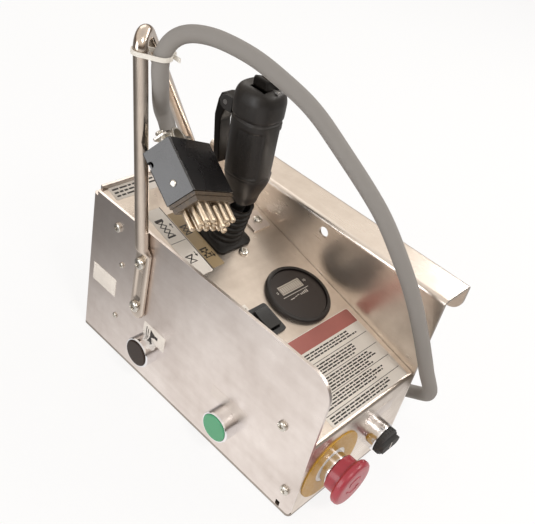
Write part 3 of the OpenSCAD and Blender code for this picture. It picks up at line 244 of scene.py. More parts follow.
@dataclass(frozen=True)
class SheetMetal(Finish):
    """Mill-finished steel sheet: cloudy patches, fine rolling marks and a few scratches."""
    other: Colour = (0.5, 0.5, 0.5, 1.0)
    dullest: float = 0.5
    grain: Grain = Grain.ALONG_Y

    def dress(self, nodes: Nodes, shader: bpy.types.Node, place: bpy.types.NodeSocket) -> None:
        """Clouds in colour and gloss, and streaks along the grain.

        Args:
            nodes, shader: the material's tree and its shader.
            place: where on the piece, in metres.
        """
        shader.inputs["Metallic"].default_value = 1.0
        along = nodes.add("ShaderNodeMapping", Vector=place, Scale=self.grain.value).outputs[0]
        streak = nodes.noise(along, 1400.0, 4.0, 0.6)
        wide = nodes.noise(along, 160.0, 2.0, 0.5)
        cloud = nodes.noise(place, 13.0, 4.0, 0.62)
        fleck = nodes.noise(place, 95.0, 3.0, 0.6)
        mixed = nodes.weigh((cloud, 0.70), (fleck, 0.18), (wide, 0.12))
        nodes.join(nodes.ramp(mixed, [(0.30, self.other), (0.64, self.colour)]), shader, "Base Color")
        cross = nodes.add("ShaderNodeMapping", Vector=place, Rotation=(0.5, 0.7, 0.4), Scale=(1, 1, 0.012))
        hair = nodes.noise(cross.outputs[0], 520.0, 1.0, 0.3)
        scratch = nodes.spread(hair, 0.0, 1.0, (0.735, 0.76))
        gloss = nodes.weigh((mixed, 0.7), (streak, 0.3))
        worn = nodes.spread(gloss, self.dullest, self.dull, (0.36, 0.62))
        nodes.join(nodes.weigh((worn, 1.0), (scratch, 0.12)), shader, "Roughness")
        height = nodes.weigh((streak, 0.8), (cloud, 0.5), (scratch, -0.5))
        self.relief(nodes, shader, height, 0.10, 0.0004)


@dataclass(frozen=True)
class Bright(Finish):
    """Plated or polished metal with hairline polishing marks."""
    grain: Grain = Grain.NONE
    scale: float = 900.0
    deep: float = 0.05

    def dress(self, nodes: Nodes, shader: bpy.types.Node, place: bpy.types.NodeSocket) -> None:
        """Fine marks, and faint dull patches from handling.

        Args:
            nodes, shader: the material's tree and its shader.
            place: where on the piece, in metres.
        """
        shader.inputs["Metallic"].default_value = 1.0
        along = nodes.add("ShaderNodeMapping", Vector=place, Scale=self.grain.value).outputs[0]
        mark = nodes.noise(along, self.scale, 3.0, 0.6)
        hand = nodes.noise(place, 55.0, 3.0, 0.6)
        both = nodes.weigh((mark, 0.5), (hand, 0.5))
        worn = nodes.spread(both, self.dull * 0.75, self.dull * 1.45, (0.35, 0.65))
        nodes.join(worn, shader, "Roughness")
        tint = nodes.ramp(both, [(0.36, self.shaded(0.86)), (0.6, self.colour)])
        nodes.join(tint, shader, "Base Color")
        self.relief(nodes, shader, mark, self.deep, 0.0003)


@dataclass(frozen=True)
class Moulded(Finish):
    """Moulded plastic or rubber: a fine stipple and a slight bloom."""
    scale: float = 1500.0
    deep: float = 0.15
    bloom: float = 0.15
    coat: float = 0.0
    shine: float = 0.5
    panel: bool = False

    def dress(self, nodes: Nodes, shader: bpy.types.Node, place: bpy.types.NodeSocket) -> None:
        """Stipple and bloom, with a coarser stipple where the piece is marked as textured.

        Args:
            nodes, shader: the material's tree and its shader.
            place: where on the piece, in metres.
        """
        shader.inputs["Specular IOR Level"].default_value = self.shine
        if self.coat:
            shader.inputs["Coat Weight"].default_value = self.coat
            shader.inputs["Coat Roughness"].default_value = 0.08
        fine = nodes.noise(place, self.scale, 2.0, 0.6)
        wide = nodes.noise(place, 38.0, 4.0, 0.6)
        dark, pale = self.shaded(1 - self.bloom), self.shaded(1 + self.bloom * 2, 0.01 * self.bloom)
        tint = nodes.ramp(nodes.weigh((wide, 0.7), (fine, 0.3)), [(0.35, dark), (0.66, pale)])
        nodes.join(tint, shader, "Base Color")
        rough = nodes.spread(wide, self.dull * 0.88, min(1.0, self.dull * 1.14), (0.35, 0.65))
        height = nodes.math("MULTIPLY", fine, 0.5)
        if self.panel:
            mark = nodes.add("ShaderNodeAttribute", {"attribute_name": "textured"}).outputs["Fac"]
            pores = nodes.add("ShaderNodeTexVoronoi", {"feature": "F1"}, Vector=place, Scale=620.0)
            bumps = nodes.spread(pores.outputs["Distance"], 1.0, 0.0, (0.1, 0.6))
            height = nodes.weigh((height, 1.0), (nodes.math("MULTIPLY", bumps, mark), 1.6))
            rough = nodes.weigh((rough, 1.0), (mark, 0.10))
        nodes.join(rough, shader, "Roughness")
        self.relief(nodes, shader, height, self.deep, 0.0003)


@dataclass(frozen=True)
class Printed(Finish):
    """Vinyl or ink: smooth, a little mottled, with a faint orange-peel in its gloss."""
    mottle: float = 0.06

    def dress(self, nodes: Nodes, shader: bpy.types.Node, place: bpy.types.NodeSocket) -> None:
        """A slight unevenness in colour and gloss.

        Args:
            nodes, shader: the material's tree and its shader.
            place: where on the piece, in metres.
        """
        wide = nodes.noise(place, 30.0, 4.0, 0.6)
        fine = nodes.noise(place, 700.0, 2.0, 0.5)
        tint = nodes.ramp(wide, [(0.3, self.shaded(1 - self.mottle * 2)), (0.62, self.colour)])
        nodes.join(tint, shader, "Base Color")
        rough = nodes.spread(fine, self.dull * 0.85, self.dull * 1.2, (0.35, 0.65))
        nodes.join(rough, shader, "Roughness")
        self.relief(nodes, shader, nodes.noise(place, 260.0, 2.0, 0.5), 0.06, 0.0002)


@dataclass(frozen=True)
class Fibre(Finish):
    """Pressed insulating board: brown, with short fibres."""
    other: Colour = (0.1, 0.08, 0.05, 1.0)

    def dress(self, nodes: Nodes, shader: bpy.types.Node, place: bpy.types.NodeSocket) -> None:
        """Short fibres in two browns.

        Args:
            nodes, shader: the material's tree and its shader.
            place: where on the piece, in metres.
        """
        along = nodes.add("ShaderNodeMapping", Vector=place, Rotation=(0.9, 0.3, 0.2), Scale=(1, 0.2, 1))
        thread = nodes.noise(along.outputs[0], 900.0, 3.0, 0.7)
        nodes.join(nodes.ramp(thread, [(0.38, self.other), (0.62, self.colour)]), shader, "Base Color")
        nodes.join(nodes.spread(thread, self.dull * 0.8, self.dull * 1.2), shader, "Roughness")
        self.relief(nodes, shader, thread, 0.2, 0.0002)


PLATE = SheetMetal("sheet_plate", srgb(238, 230, 225), 0.27, edge=0.45, other=srgb(208, 197, 190),
                   dullest=0.40)
PANEL_SHEET = SheetMetal("sheet_panel", srgb(232, 222, 211), 0.25, edge=0.45, other=srgb(196, 183, 171),
                         dullest=0.36, grain=Grain.ALONG_X)
# The hook plate is the side plate's steel painted lighter: painted light on its upward-facing flange
HOOK_SHEET_LIT = SheetMetal("sheet_hook", srgb(246, 238, 230), 0.24, edge=0.45, other=srgb(214, 203, 192),
                        dullest=0.37)
BASE_SHEET = SheetMetal("sheet_base", srgb(176, 168, 160), 0.38, edge=0.45, other=srgb(140, 132, 124))
TUBE = Bright("tube_polished", srgb(214, 202, 190), 0.17, grain=Grain.ALONG_Z, scale=1100.0, deep=0.06)
ZINC = Bright("zinc_screws", srgb(214, 210, 202), 0.26, scale=1300.0, deep=0.12)
CHROME = Bright("chrome", srgb(190, 186, 182), 0.13, edge=0.2, scale=700.0, deep=0.02)
NICKEL = Bright("nickel_blades", srgb(214, 197, 174), 0.34, scale=1400.0, deep=0.08)
STEEL_PIN = Bright("steel_pins", srgb(186, 184, 182), 0.3, edge=0.2)
GRIP_RUBBER = Moulded("grip_rubber", srgb(31, 28, 26), 0.43, scale=1700.0, deep=0.32, bloom=0.22,
                      panel=True)
BOOT_RUBBER = Moulded("boot_rubber", srgb(24, 21, 18), 0.46, scale=1100.0, deep=0.22, bloom=0.2,
                      shine=0.22)
SATIN_BLACK = Moulded("black_plastic", srgb(24, 21, 19), 0.38, edge=0.25, scale=1800.0, deep=0.12,
                      shine=0.3)
TRIGGER_BLACK = Moulded("trigger_black", srgb(18, 15, 12), 0.34, scale=1800.0, deep=0.1, shine=0.2)
GLOSS_BLACK = Moulded("gloss_black", srgb(14, 11, 10), 0.12, edge=0.3, scale=900.0, deep=0.01, shine=0.3)
DIAL_BLACK = Moulded("dial_face", srgb(40, 32, 29), 0.34, edge=0.2, scale=1500.0, deep=0.05, bloom=0.1)
CASE_BLACK = Moulded("case_black", srgb(28, 23, 21), 0.36, edge=0.3, scale=1300.0, deep=0.12)
CAP_PAINT = Moulded("cap_paint", srgb(24, 23, 24), 0.26, edge=0.35, scale=700.0, deep=0.07,
                    bloom=0.12, coat=0.6)
HORN_BROWN = Moulded("horn_cap", srgb(42, 28, 19), 0.34, edge=0.25, scale=1600.0, deep=0.1, shine=0.3)
GREEN = Moulded("green_cap", srgb(22, 98, 38), 0.36, edge=0.3, scale=1200.0, deep=0.08,
                bloom=0.08, shine=0.3)
RED = Moulded("red_head", srgb(166, 54, 68), 0.36, edge=0.3, scale=1400.0, deep=0.10,
              bloom=0.08, coat=0.15)
CABLE_GREY = Moulded("cable_grey", srgb(84, 77, 70), 0.25, scale=420.0, deep=0.07, bloom=0.05, coat=1.0)
TIE_WHITE = Moulded("tie_nylon", srgb(232, 229, 222), 0.42, scale=1500.0, deep=0.06, bloom=0.03)
DARK_INSIDE = Moulded("block_black", srgb(44, 43, 44), 0.5, scale=1500.0, deep=0.1)
BOARD = Moulded("board_green", srgb(30, 92, 58), 0.4, scale=900.0, deep=0.12)
YELLOW = Printed("legend_yellow", srgb(192, 148, 48), 0.38, edge=0.15)
WHITE_RING = Printed("legend_white", srgb(226, 222, 216), 0.34)
VINYL = Printed("label_white", srgb(237, 231, 223), 0.34)
VINYL_RED = Printed("label_red", srgb(176, 106, 98), 0.36)
VINYL_TAN = Printed("label_tan", srgb(160, 140, 108), 0.36)
CLEAR_PATCH = SheetMetal("label_clear", srgb(238, 230, 224), 0.34, other=srgb(214, 204, 196), dullest=0.42)
INK = Printed("ink_black", srgb(34, 29, 27), 0.4)
INK_GREY = Printed("ink_grey", srgb(120, 112, 106), 0.4)
DISPLAY = Printed("display_pale", srgb(196, 187, 174), 0.2)
DIAL_INK = Printed("dial_ink", srgb(212, 205, 196), 0.4)
FIBRE = Fibre("insulator_fibre", srgb(96, 80, 60), 0.42, other=srgb(58, 48, 38))


# Places


@dataclass(frozen=True)
class Place:
    """A local frame: where its origin is, in millimetres, and its turns about x, y and z in degrees."""
    origin: Point = (0.0, 0.0, 0.0)
    turn: Point = (0.0, 0.0, 0.0)

    def matrix(self) -> Matrix:
        """From this frame's metres to the part's."""
        turned = Euler([math.radians(a) for a in self.turn], "XYZ").to_matrix().to_4x4()
        return Matrix.Translation(Vector(self.origin) * MM) @ turned

    def at(self, x: float, y: float, z: float = 0.0) -> Vector:
        """A point given in this frame's millimetres, in the part's metres."""
        return self.matrix() @ (Vector((x, y, z)) * MM)

    def moved(self, x: float, y: float, z: float = 0.0) -> "Place":
        """The same frame with its origin moved along its own directions."""
        return Place(tuple(self.at(x, y, z) / MM), self.turn)


# The panel's slope, where the stick stands on it, how far its pivot is below it, and the leans of the
# stick and of its grip, as in the part's source
PANEL_ANGLE = 13.271
STICK_FOOT = (8.5, 188.0)
PIVOT_UNDER = -12.0
STICK_LEAN = 16.2
STICK_L = 58.3
GRIP_LEAN = -2.2
PANEL = Place((0, -BODY_HALF_L, FRONT_H), (PANEL_ANGLE, 0, 0))
STICK = Place(PANEL.moved(*STICK_FOOT, PIVOT_UNDER).origin, (STICK_LEAN, 0, 0))
GRIP = Place(tuple(STICK.at(0, 0, STICK_L) / MM), (GRIP_LEAN, 0, 0))
PLUG = Place((-69.8, 48.7, 241.1), (-55, 25, 10))


def left(y: float, z: float) -> Place:
    """A place on the left plate: local x is up, y is back and z is outwards."""
    return Place((-BODY_HALF_W, y, z), (0, -90, 0))


def right(y: float, z: float) -> Place:
    """A place on the right plate, looking outwards."""
    return Place((BODY_HALF_W, y, z), (0, 90, 0))


def front(x: float, z: float) -> Place:
    """A place on the front: local x is to the right, y is up and z is outwards."""
    return Place((x, -BODY_HALF_L, z), (90, 0, 0))


def rear(x: float, z: float) -> Place:
    """A place on the rear wall, looking outwards."""
    return Place((x, BODY_HALF_L, z), (-90, 0, 0))


# Shapes and pieces


def stand(name: str, data: bpy.types.ID) -> bpy.types.Object:
    """Puts a new object into the scene, at the origin and unturned.

    Args:
        name: the object's name.
        data: its mesh, curve, lamp or camera.

    Returns:
        The object.
    """
    made = bpy.data.objects.new(name, data)
    bpy.context.scene.collection.objects.link(made)
    return made


def settled(made: bpy.types.Object) -> bpy.types.Mesh:
    """Reads an object as it is when its modifiers have run.

    Args:
        made: the object.

    Returns:
        A new plain mesh.
    """
    graph = bpy.context.evaluated_depsgraph_get()
    graph.update()
    return bpy.data.meshes.new_from_object(made.evaluated_get(graph), depsgraph=graph)


def apply_modifiers(made: bpy.types.Object) -> bpy.types.Object:
    """Turns an object's modifiers into plain mesh.

    Args:
        made: the object.

    Returns:
        The same object, with no modifier.
    """
    mesh = settled(made)
    made.modifiers.clear()
    made.data = mesh
    return made


class Shape:
    """Points and faces that become one mesh."""

    def __init__(self) -> None:
        """Starts empty."""
        self.points: list[Vector] = []
        self.faces: list[list[int]] = []

    def loft(self, rings: Sequence[Sequence[Vector]], ends: bool = True, closed: bool = True) -> "Shape":
        """Joins rings of equal length into a skin.

        Args:
            rings: the rings, in metres.
            ends: whether the first and last ring are filled.
            closed: whether each ring closes on itself.

        Returns:
            The shape itself.
        """
        start, count = len(self.points), len(rings[0])
        for ring in rings:
            self.points.extend(Vector(p) for p in ring)
        for j in range(len(rings) - 1):
            for i in range(count if closed else count - 1):
                a, b = start + j * count + i, start + j * count + (i + 1) % count
                self.faces.append([a, b, b + count, a + count])
        if ends:
            last = start + (len(rings) - 1) * count
            self.faces.append([start + i for i in range(count - 1, -1, -1)])
            self.faces.append([last + i for i in range(count)])
        return self

    def prism(self, place: Place, outline: Sequence[Pair], low: float, high: float) -> "Shape":
        """A flat outline with a thickness."""
        return self.loft([[place.at(x, y, z) for x, y in outline] for z in (low, high)])

    def lathe(self, place: Place, profile: Sequence[Pair], count: int, ends: bool = True) -> "Shape":
        """Turns a profile of radii and heights about the place's z."""
        turns = [math.tau * i / count for i in range(count)]
        return self.loft([[place.at(r * math.cos(a), r * math.sin(a), z) for a in turns]
                          for r, z in profile], ends)

    def object(self, name: str, merge: float = 1e-6) -> bpy.types.Object:
        """Makes the mesh object, with doubles merged and faces pointing outwards.

        Args:
            name: the object's name.
            merge: how far apart doubles may be, in metres.

        Returns:
            The object.
        """
        mesh = bpy.data.meshes.new(name)
        mesh.from_pydata([tuple(p) for p in self.points], [], self.faces)
        work = bmesh.new()
        work.from_mesh(mesh)
        bmesh.ops.remove_doubles(work, verts=work.verts, dist=merge)
        bmesh.ops.dissolve_degenerate(work, edges=work.edges, dist=merge / 10)
        bmesh.ops.recalc_face_normals(work, faces=work.faces)
        work.to_mesh(mesh)
        work.free()
        return stand(name, mesh)


def rounded(width: float, height: float, radius: float, steps: int = 6,
            centre: Pair = (0.0, 0.0)) -> list[Pair]:
    """The outline of a rectangle with rounded corners, anticlockwise.

    Args:
        width, height, radius: its sizes.
        steps: how many sides each corner has.
        centre: where its middle is.

    Returns:
        The outline's points.
    """
    outline = []
    for k, (sx, sy) in enumerate(((1, 1), (-1, 1), (-1, -1), (1, -1))):
        for i in range(steps + 1):
            a = math.radians(90 * (k + i / steps))
            outline.append((centre[0] + sx * (width / 2 - radius) + radius * math.cos(a),
                            centre[1] + sy * (height / 2 - radius) + radius * math.sin(a)))
    return outline


def smooth_step(value: float, low: float, high: float) -> float:
    """0 below low, 1 above high and a smooth rise between."""
    t = min(1.0, max(0.0, (value - low) / (high - low)))
    return t * t * (3 - 2 * t)


def between(table: Sequence[Sequence[float]], place: float) -> list[float]:
    """A smooth reading of a table whose first column rises.

    Args:
        table: rows of a place and its values.
        place: where to read.

    Returns:
        The values there.
    """
    i = max(0, min(len(table) - 2, next((k for k in range(len(table) - 1) if table[k + 1][0] >= place),
                                        len(table) - 2)))
    a, b = table[i], table[i + 1]
    before, after = table[max(0, i - 1)], table[min(len(table) - 1, i + 2)]
    span = b[0] - a[0]
    t = min(1.0, max(0.0, (place - a[0]) / span))
    found = []
    for k in range(1, len(a)):
        step = (b[k] - a[k]) / span
        s0 = (b[k] - before[k]) / (b[0] - before[0]) if i > 0 else step
        s1 = (after[k] - a[k]) / (after[0] - a[0]) if i + 2 < len(table) else step
        if s0 * step <= 0:
            s0 = 0.0
        if s1 * step <= 0:
            s1 = 0.0
        limit = 3 * abs(step)
        s0 = math.copysign(min(abs(s0), limit), s0)
        s1 = math.copysign(min(abs(s1), limit), s1)
        h = ((1 + 2 * t) * (1 - t) ** 2, t * (1 - t) ** 2, t * t * (3 - 2 * t), t * t * (t - 1))
        found.append(h[0] * a[k] + h[1] * span * s0 + h[2] * b[k] + h[3] * span * s1)
    return found


def finish_piece(made: bpy.types.Object, finish: Finish, sharp: float = 38.0, bevel: float = 0.0,
                 steps: int = 2) -> bpy.types.Object:
    """Gives a mesh its finish, shading and rounded edges.

    Args:
        made: the object.
        finish: what it is made of.
        sharp: edges over this many degrees stay sharp.
        bevel: the edges' rounding, in millimetres.
        steps: how many faces round an edge.

    Returns:
        The object.
    """
    made.data.materials.clear()
    made.data.materials.append(finish.build())
    made.data.polygons.foreach_set("use_smooth", [True] * len(made.data.polygons))
    if bevel:
        rounding = made.modifiers.new("rounded_edges", "BEVEL")
        rounding.width, rounding.segments = bevel * MM, steps
        rounding.limit_method, rounding.angle_limit = "ANGLE", math.radians(32)
        rounding.harden_normals = True
        rounding.use_clamp_overlap = True
    else:
        made.data.set_sharp_from_angle(angle=math.radians(sharp))
    return made


def place_on(made: bpy.types.Object, body: str,
             replaces: Sequence[str] = ()) -> bpy.types.Object:
    """Lets a piece ride on its body and hides the CAD nodes that it stands for.

    Args:
        made: the piece.
        body: the body that it moves with.
        replaces: the CAD nodes that it stands for.

    Returns:
        The piece.
    """
    if replaces:
        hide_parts(*replaces)
    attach(made, body)
    LOG.info("piece %s on %s", made.name, body)
    return made


# Geometry Nodes

COUNT, LENGTH, VECTOR = "NodeSocketInt", "NodeSocketFloat", "NodeSocketVector"
WHERE = (("Origin", VECTOR), ("Turn", VECTOR))


class Recipe:
    """One Geometry Nodes tree with named inputs, used on any number of pieces."""

    def __init__(self, name: str, inputs: Sequence[tuple[str, str]]) -> None:
        """Makes the empty tree with its inputs.

        Args:
            name: the tree's name.
            inputs: the inputs' names and socket types.
        """
        self.tree = bpy.data.node_groups.new(name, "GeometryNodeTree")
        self.sockets: dict[str, str] = {}
        face = self.tree.interface
        face.new_socket("Geometry", in_out="INPUT", socket_type="NodeSocketGeometry")
        for title, kind in (*inputs, ("Finish", "NodeSocketMaterial")):
            self.sockets[title] = face.new_socket(title, in_out="INPUT", socket_type=kind).identifier
        face.new_socket("Geometry", in_out="OUTPUT", socket_type="NodeSocketGeometry")
        self.nodes = Nodes(self.tree)
        self.start = self.nodes.add("NodeGroupInput")

    def end(self, shape: bpy.types.NodeSocket) -> None:
        """Closes the tree: instances become real and take the finish.

        Args:
            shape: what the tree has made.
        """
        real = self.nodes.add("GeometryNodeRealizeInstances", s0=shape)
        dressed = self.nodes.add("GeometryNodeSetMaterial", s0=real.outputs[0],
                                 Material=self.start.outputs["Finish"])
        out = self.nodes.add("NodeGroupOutput")
        self.tree.links.new(dressed.outputs[0], out.inputs[0])

    def end_at(self, shape: bpy.types.NodeSocket) -> None:
        """Puts the shape where the Origin and Turn inputs say, and closes the tree.

        Args:
            shape: what the tree has made.
        """
        given = self.start.outputs
        real = self.nodes.add("GeometryNodeRealizeInstances", s0=shape)
        turned = self.nodes.add("FunctionNodeEulerToRotation", s0=given["Turn"])
        put = self.nodes.add("GeometryNodeTransform", Geometry=real.outputs[0], Translation=given["Origin"],
                             Rotation=turned.outputs[0])
        self.end(put.outputs[0])

    def run(self, name: str, seed_mesh: bpy.types.Mesh, finish: Finish,
            **values: object) -> bpy.types.Object:
        """Runs the tree on a mesh and turns the result into a plain mesh object.

        Args:
            name: the new object's name.
            seed_mesh: what the tree starts from.
            finish: the finish of all that it makes.
            values: the named inputs, with _ for a space.

        Returns:
            The finished object, with no modifier.
        """
        carrier = stand(name + "_seed", seed_mesh)
        step = carrier.modifiers.new("recipe", "NODES")
        step.node_group = self.tree
        step[self.sockets["Finish"]] = finish.build()
        for key, value in values.items():
            step[self.sockets[key.replace("_", " ")]] = value
        mesh = settled(carrier)
        bpy.data.objects.remove(carrier)
        return stand(name, mesh)


def points_mesh(name: str, spots: Sequence[Matrix], sizes: Sequence[Point] | None = None) -> bpy.types.Mesh:
    """Loose points that carry a turn and a size, for a recipe to set pieces on.

    Args:
        name: the mesh's name.
        spots: each point's full place.
        sizes: each point's scale, or none for one.

    Returns:
        The mesh.
    """
    mesh = bpy.data.meshes.new(name)
    mesh.from_pydata([tuple(m.translation) for m in spots], [], [])
    turn = mesh.attributes.new("turn", "FLOAT_VECTOR", "POINT")
    size = mesh.attributes.new("size", "FLOAT_VECTOR", "POINT")
    turn.data.foreach_set("vector", [a for m in spots for a in m.to_euler("XYZ")])
    size.data.foreach_set("vector", [a for s in (sizes or [(1, 1, 1)] * len(spots)) for a in s])
    return mesh


def copies_recipe() -> Recipe:
    """Sets a copy of one object on every point, turned and sized as the point says.

    Returns:
        The recipe.
    """
    made = Recipe("copies_on_points", [("Original", "NodeSocketObject"), ("Scale", LENGTH)])
    add, given = made.nodes.add, made.start.outputs
    source = add("GeometryNodeObjectInfo", Object=given["Original"])
    turn = add("GeometryNodeInputNamedAttribute", {"data_type": "FLOAT_VECTOR"}, Name="turn")
    size = add("GeometryNodeInputNamedAttribute", {"data_type": "FLOAT_VECTOR"}, Name="size")
    turned = add("FunctionNodeEulerToRotation", s0=turn.outputs[0])
    sized = add("ShaderNodeVectorMath", {"operation": "SCALE"}, s0=size.outputs[0], Scale=given["Scale"])
    spread = add("GeometryNodeInstanceOnPoints", Points=given["Geometry"],
                 Instance=source.outputs["Geometry"], Rotation=turned.outputs[0], Scale=sized.outputs[0])
    made.end(spread.outputs[0])
    return made


def bars_recipe() -> Recipe:
    """A row of equal bars that grow from one to the next by a set share.

    Returns:
        The recipe.
    """
    made = Recipe("row_of_bars", [("Count", COUNT), ("First", VECTOR), ("Step", VECTOR), ("Bar", VECTOR),
                                  ("Growth", VECTOR), *WHERE])
    add, given = made.nodes.add, made.start.outputs
    line = add("GeometryNodeMeshLine", {"mode": "OFFSET"}, Count=given["Count"],
               Start_Location=given["First"], Offset=given["Step"])
    bar = add("GeometryNodeMeshCube", Size=given["Bar"])
    rank = add("GeometryNodeInputIndex")
    more = add("ShaderNodeVectorMath", {"operation": "SCALE"}, s0=given["Growth"], Scale=rank.outputs[0])
    size = add("ShaderNodeVectorMath", {"operation": "ADD"}, s0=more.outputs[0], s1=(1.0, 1.0, 1.0))
    row = add("GeometryNodeInstanceOnPoints", Points=line.outputs[0], Instance=bar.outputs[0],
              Scale=size.outputs[0])
    made.end_at(row.outputs[0])
    return made


def bellows_recipe() -> Recipe:
    """A rubber bellows: rings that bulge round a tube that narrows upwards.

    Returns:
        The recipe.
    """
    made = Recipe("bellows", [("Ribs", COUNT), ("Length", LENGTH), ("Foot radius", LENGTH),
                              ("Top radius", LENGTH), ("Depth", LENGTH), ("Base", LENGTH),
                              ("Round", COUNT), *WHERE])
    add, given, calc = made.nodes.add, made.start.outputs, made.nodes.math
    rows = calc("MULTIPLY_ADD", given["Ribs"], 14.0, 1.0)
    grid = add("GeometryNodeMeshGrid", Size_X=1.0, Size_Y=1.0, Vertices_X=given["Round"], Vertices_Y=rows)
    flat = add("ShaderNodeSeparateXYZ", s0=add("GeometryNodeInputPosition").outputs[0])
    share = calc("ADD", flat.outputs[1], 0.5)
    angle = calc("MULTIPLY", calc("ADD", flat.outputs[0], 0.5), math.tau)
    wave = calc("COSINE", calc("MULTIPLY", calc("MULTIPLY", share, given["Ribs"]), math.tau))
    dip = calc("POWER", calc("MULTIPLY_ADD", wave, -0.5, 0.5), 1.6)
    plain = calc("ADD", given["Foot radius"],
                 calc("MULTIPLY", share, calc("SUBTRACT", given["Top radius"], given["Foot radius"])))
    reach = calc("SUBTRACT", plain, calc("MULTIPLY", dip, given["Depth"]))
    spot = add("ShaderNodeCombineXYZ", s0=calc("MULTIPLY", reach, calc("COSINE", angle)),
               s1=calc("MULTIPLY", reach, calc("SINE", angle)),
               s2=calc("MULTIPLY_ADD", share, given["Length"], given["Base"]))
    bent = add("GeometryNodeSetPosition", Geometry=grid.outputs[0], Position=spot.outputs[0])
    shut = add("GeometryNodeMergeByDistance", Geometry=bent.outputs[0], Distance=0.00002)
    made.end_at(shut.outputs[0])
    return made


def ribs_recipe() -> Recipe:
    """Equal ribs set round a circle, for a fluted edge.

    Returns:
        The recipe.
    """
    made = Recipe("ribs_round_a_circle", [("Count", COUNT), ("Radius", LENGTH), ("Rib", VECTOR),
                                          ("Height", LENGTH), *WHERE])
    add, given = made.nodes.add, made.start.outputs
    ring = add("GeometryNodeMeshCircle", Vertices=given["Count"], Radius=given["Radius"])
    bar = add("GeometryNodeMeshCube", Size=given["Rib"])
    rank = add("GeometryNodeInputIndex")
    turn = made.nodes.math("DIVIDE", rank.outputs[0], given["Count"])
    spin = add("ShaderNodeCombineXYZ", s2=made.nodes.math("MULTIPLY", turn, math.tau))
    spun = add("FunctionNodeEulerToRotation", s0=spin.outputs[0])
    row = add("GeometryNodeInstanceOnPoints", Points=ring.outputs[0], Instance=bar.outputs[0],
              Rotation=spun.outputs[0])
    real = add("GeometryNodeRealizeInstances", s0=row.outputs[0])
    lift = add("ShaderNodeCombineXYZ", s2=given["Height"])
    raised = add("GeometryNodeTransform", Geometry=real.outputs[0], Translation=lift.outputs[0])
    made.end_at(raised.outputs[0])
    return made


def where(place: Place) -> dict[str, tuple]:
    """A place as the Origin and Turn inputs of a recipe."""
    m = place.matrix()
    return {"Origin": tuple(m.translation), "Turn": tuple(m.to_euler("XYZ"))}


EMPTY = bpy.data.meshes.new("empty_seed")


def join(name: str, parts: Sequence[bpy.types.Object]) -> bpy.types.Object:
    """Joins plain mesh objects with their materials into one.

    Args:
        name: the new object's name.
        parts: the objects, which are used up.

    Returns:
        The joined object.
    """
    work = bmesh.new()
    finishes: list[bpy.types.Material] = []
    for part in parts:
        first = len(work.faces)
        work.from_mesh(part.data)
        work.faces.ensure_lookup_table()
        slots = []
        for found in part.data.materials:
            if found not in finishes:
                finishes.append(found)
            slots.append(finishes.index(found))
        for f in work.faces[first:]:
            f.material_index = slots[min(f.material_index, len(slots) - 1)]
    mesh = bpy.data.meshes.new(name)
    work.to_mesh(mesh)
    work.free()
    for found in finishes:
        mesh.materials.append(found)
    for part in parts:
        bpy.data.objects.remove(part)
    return stand(name, mesh)


# The cable and its connector


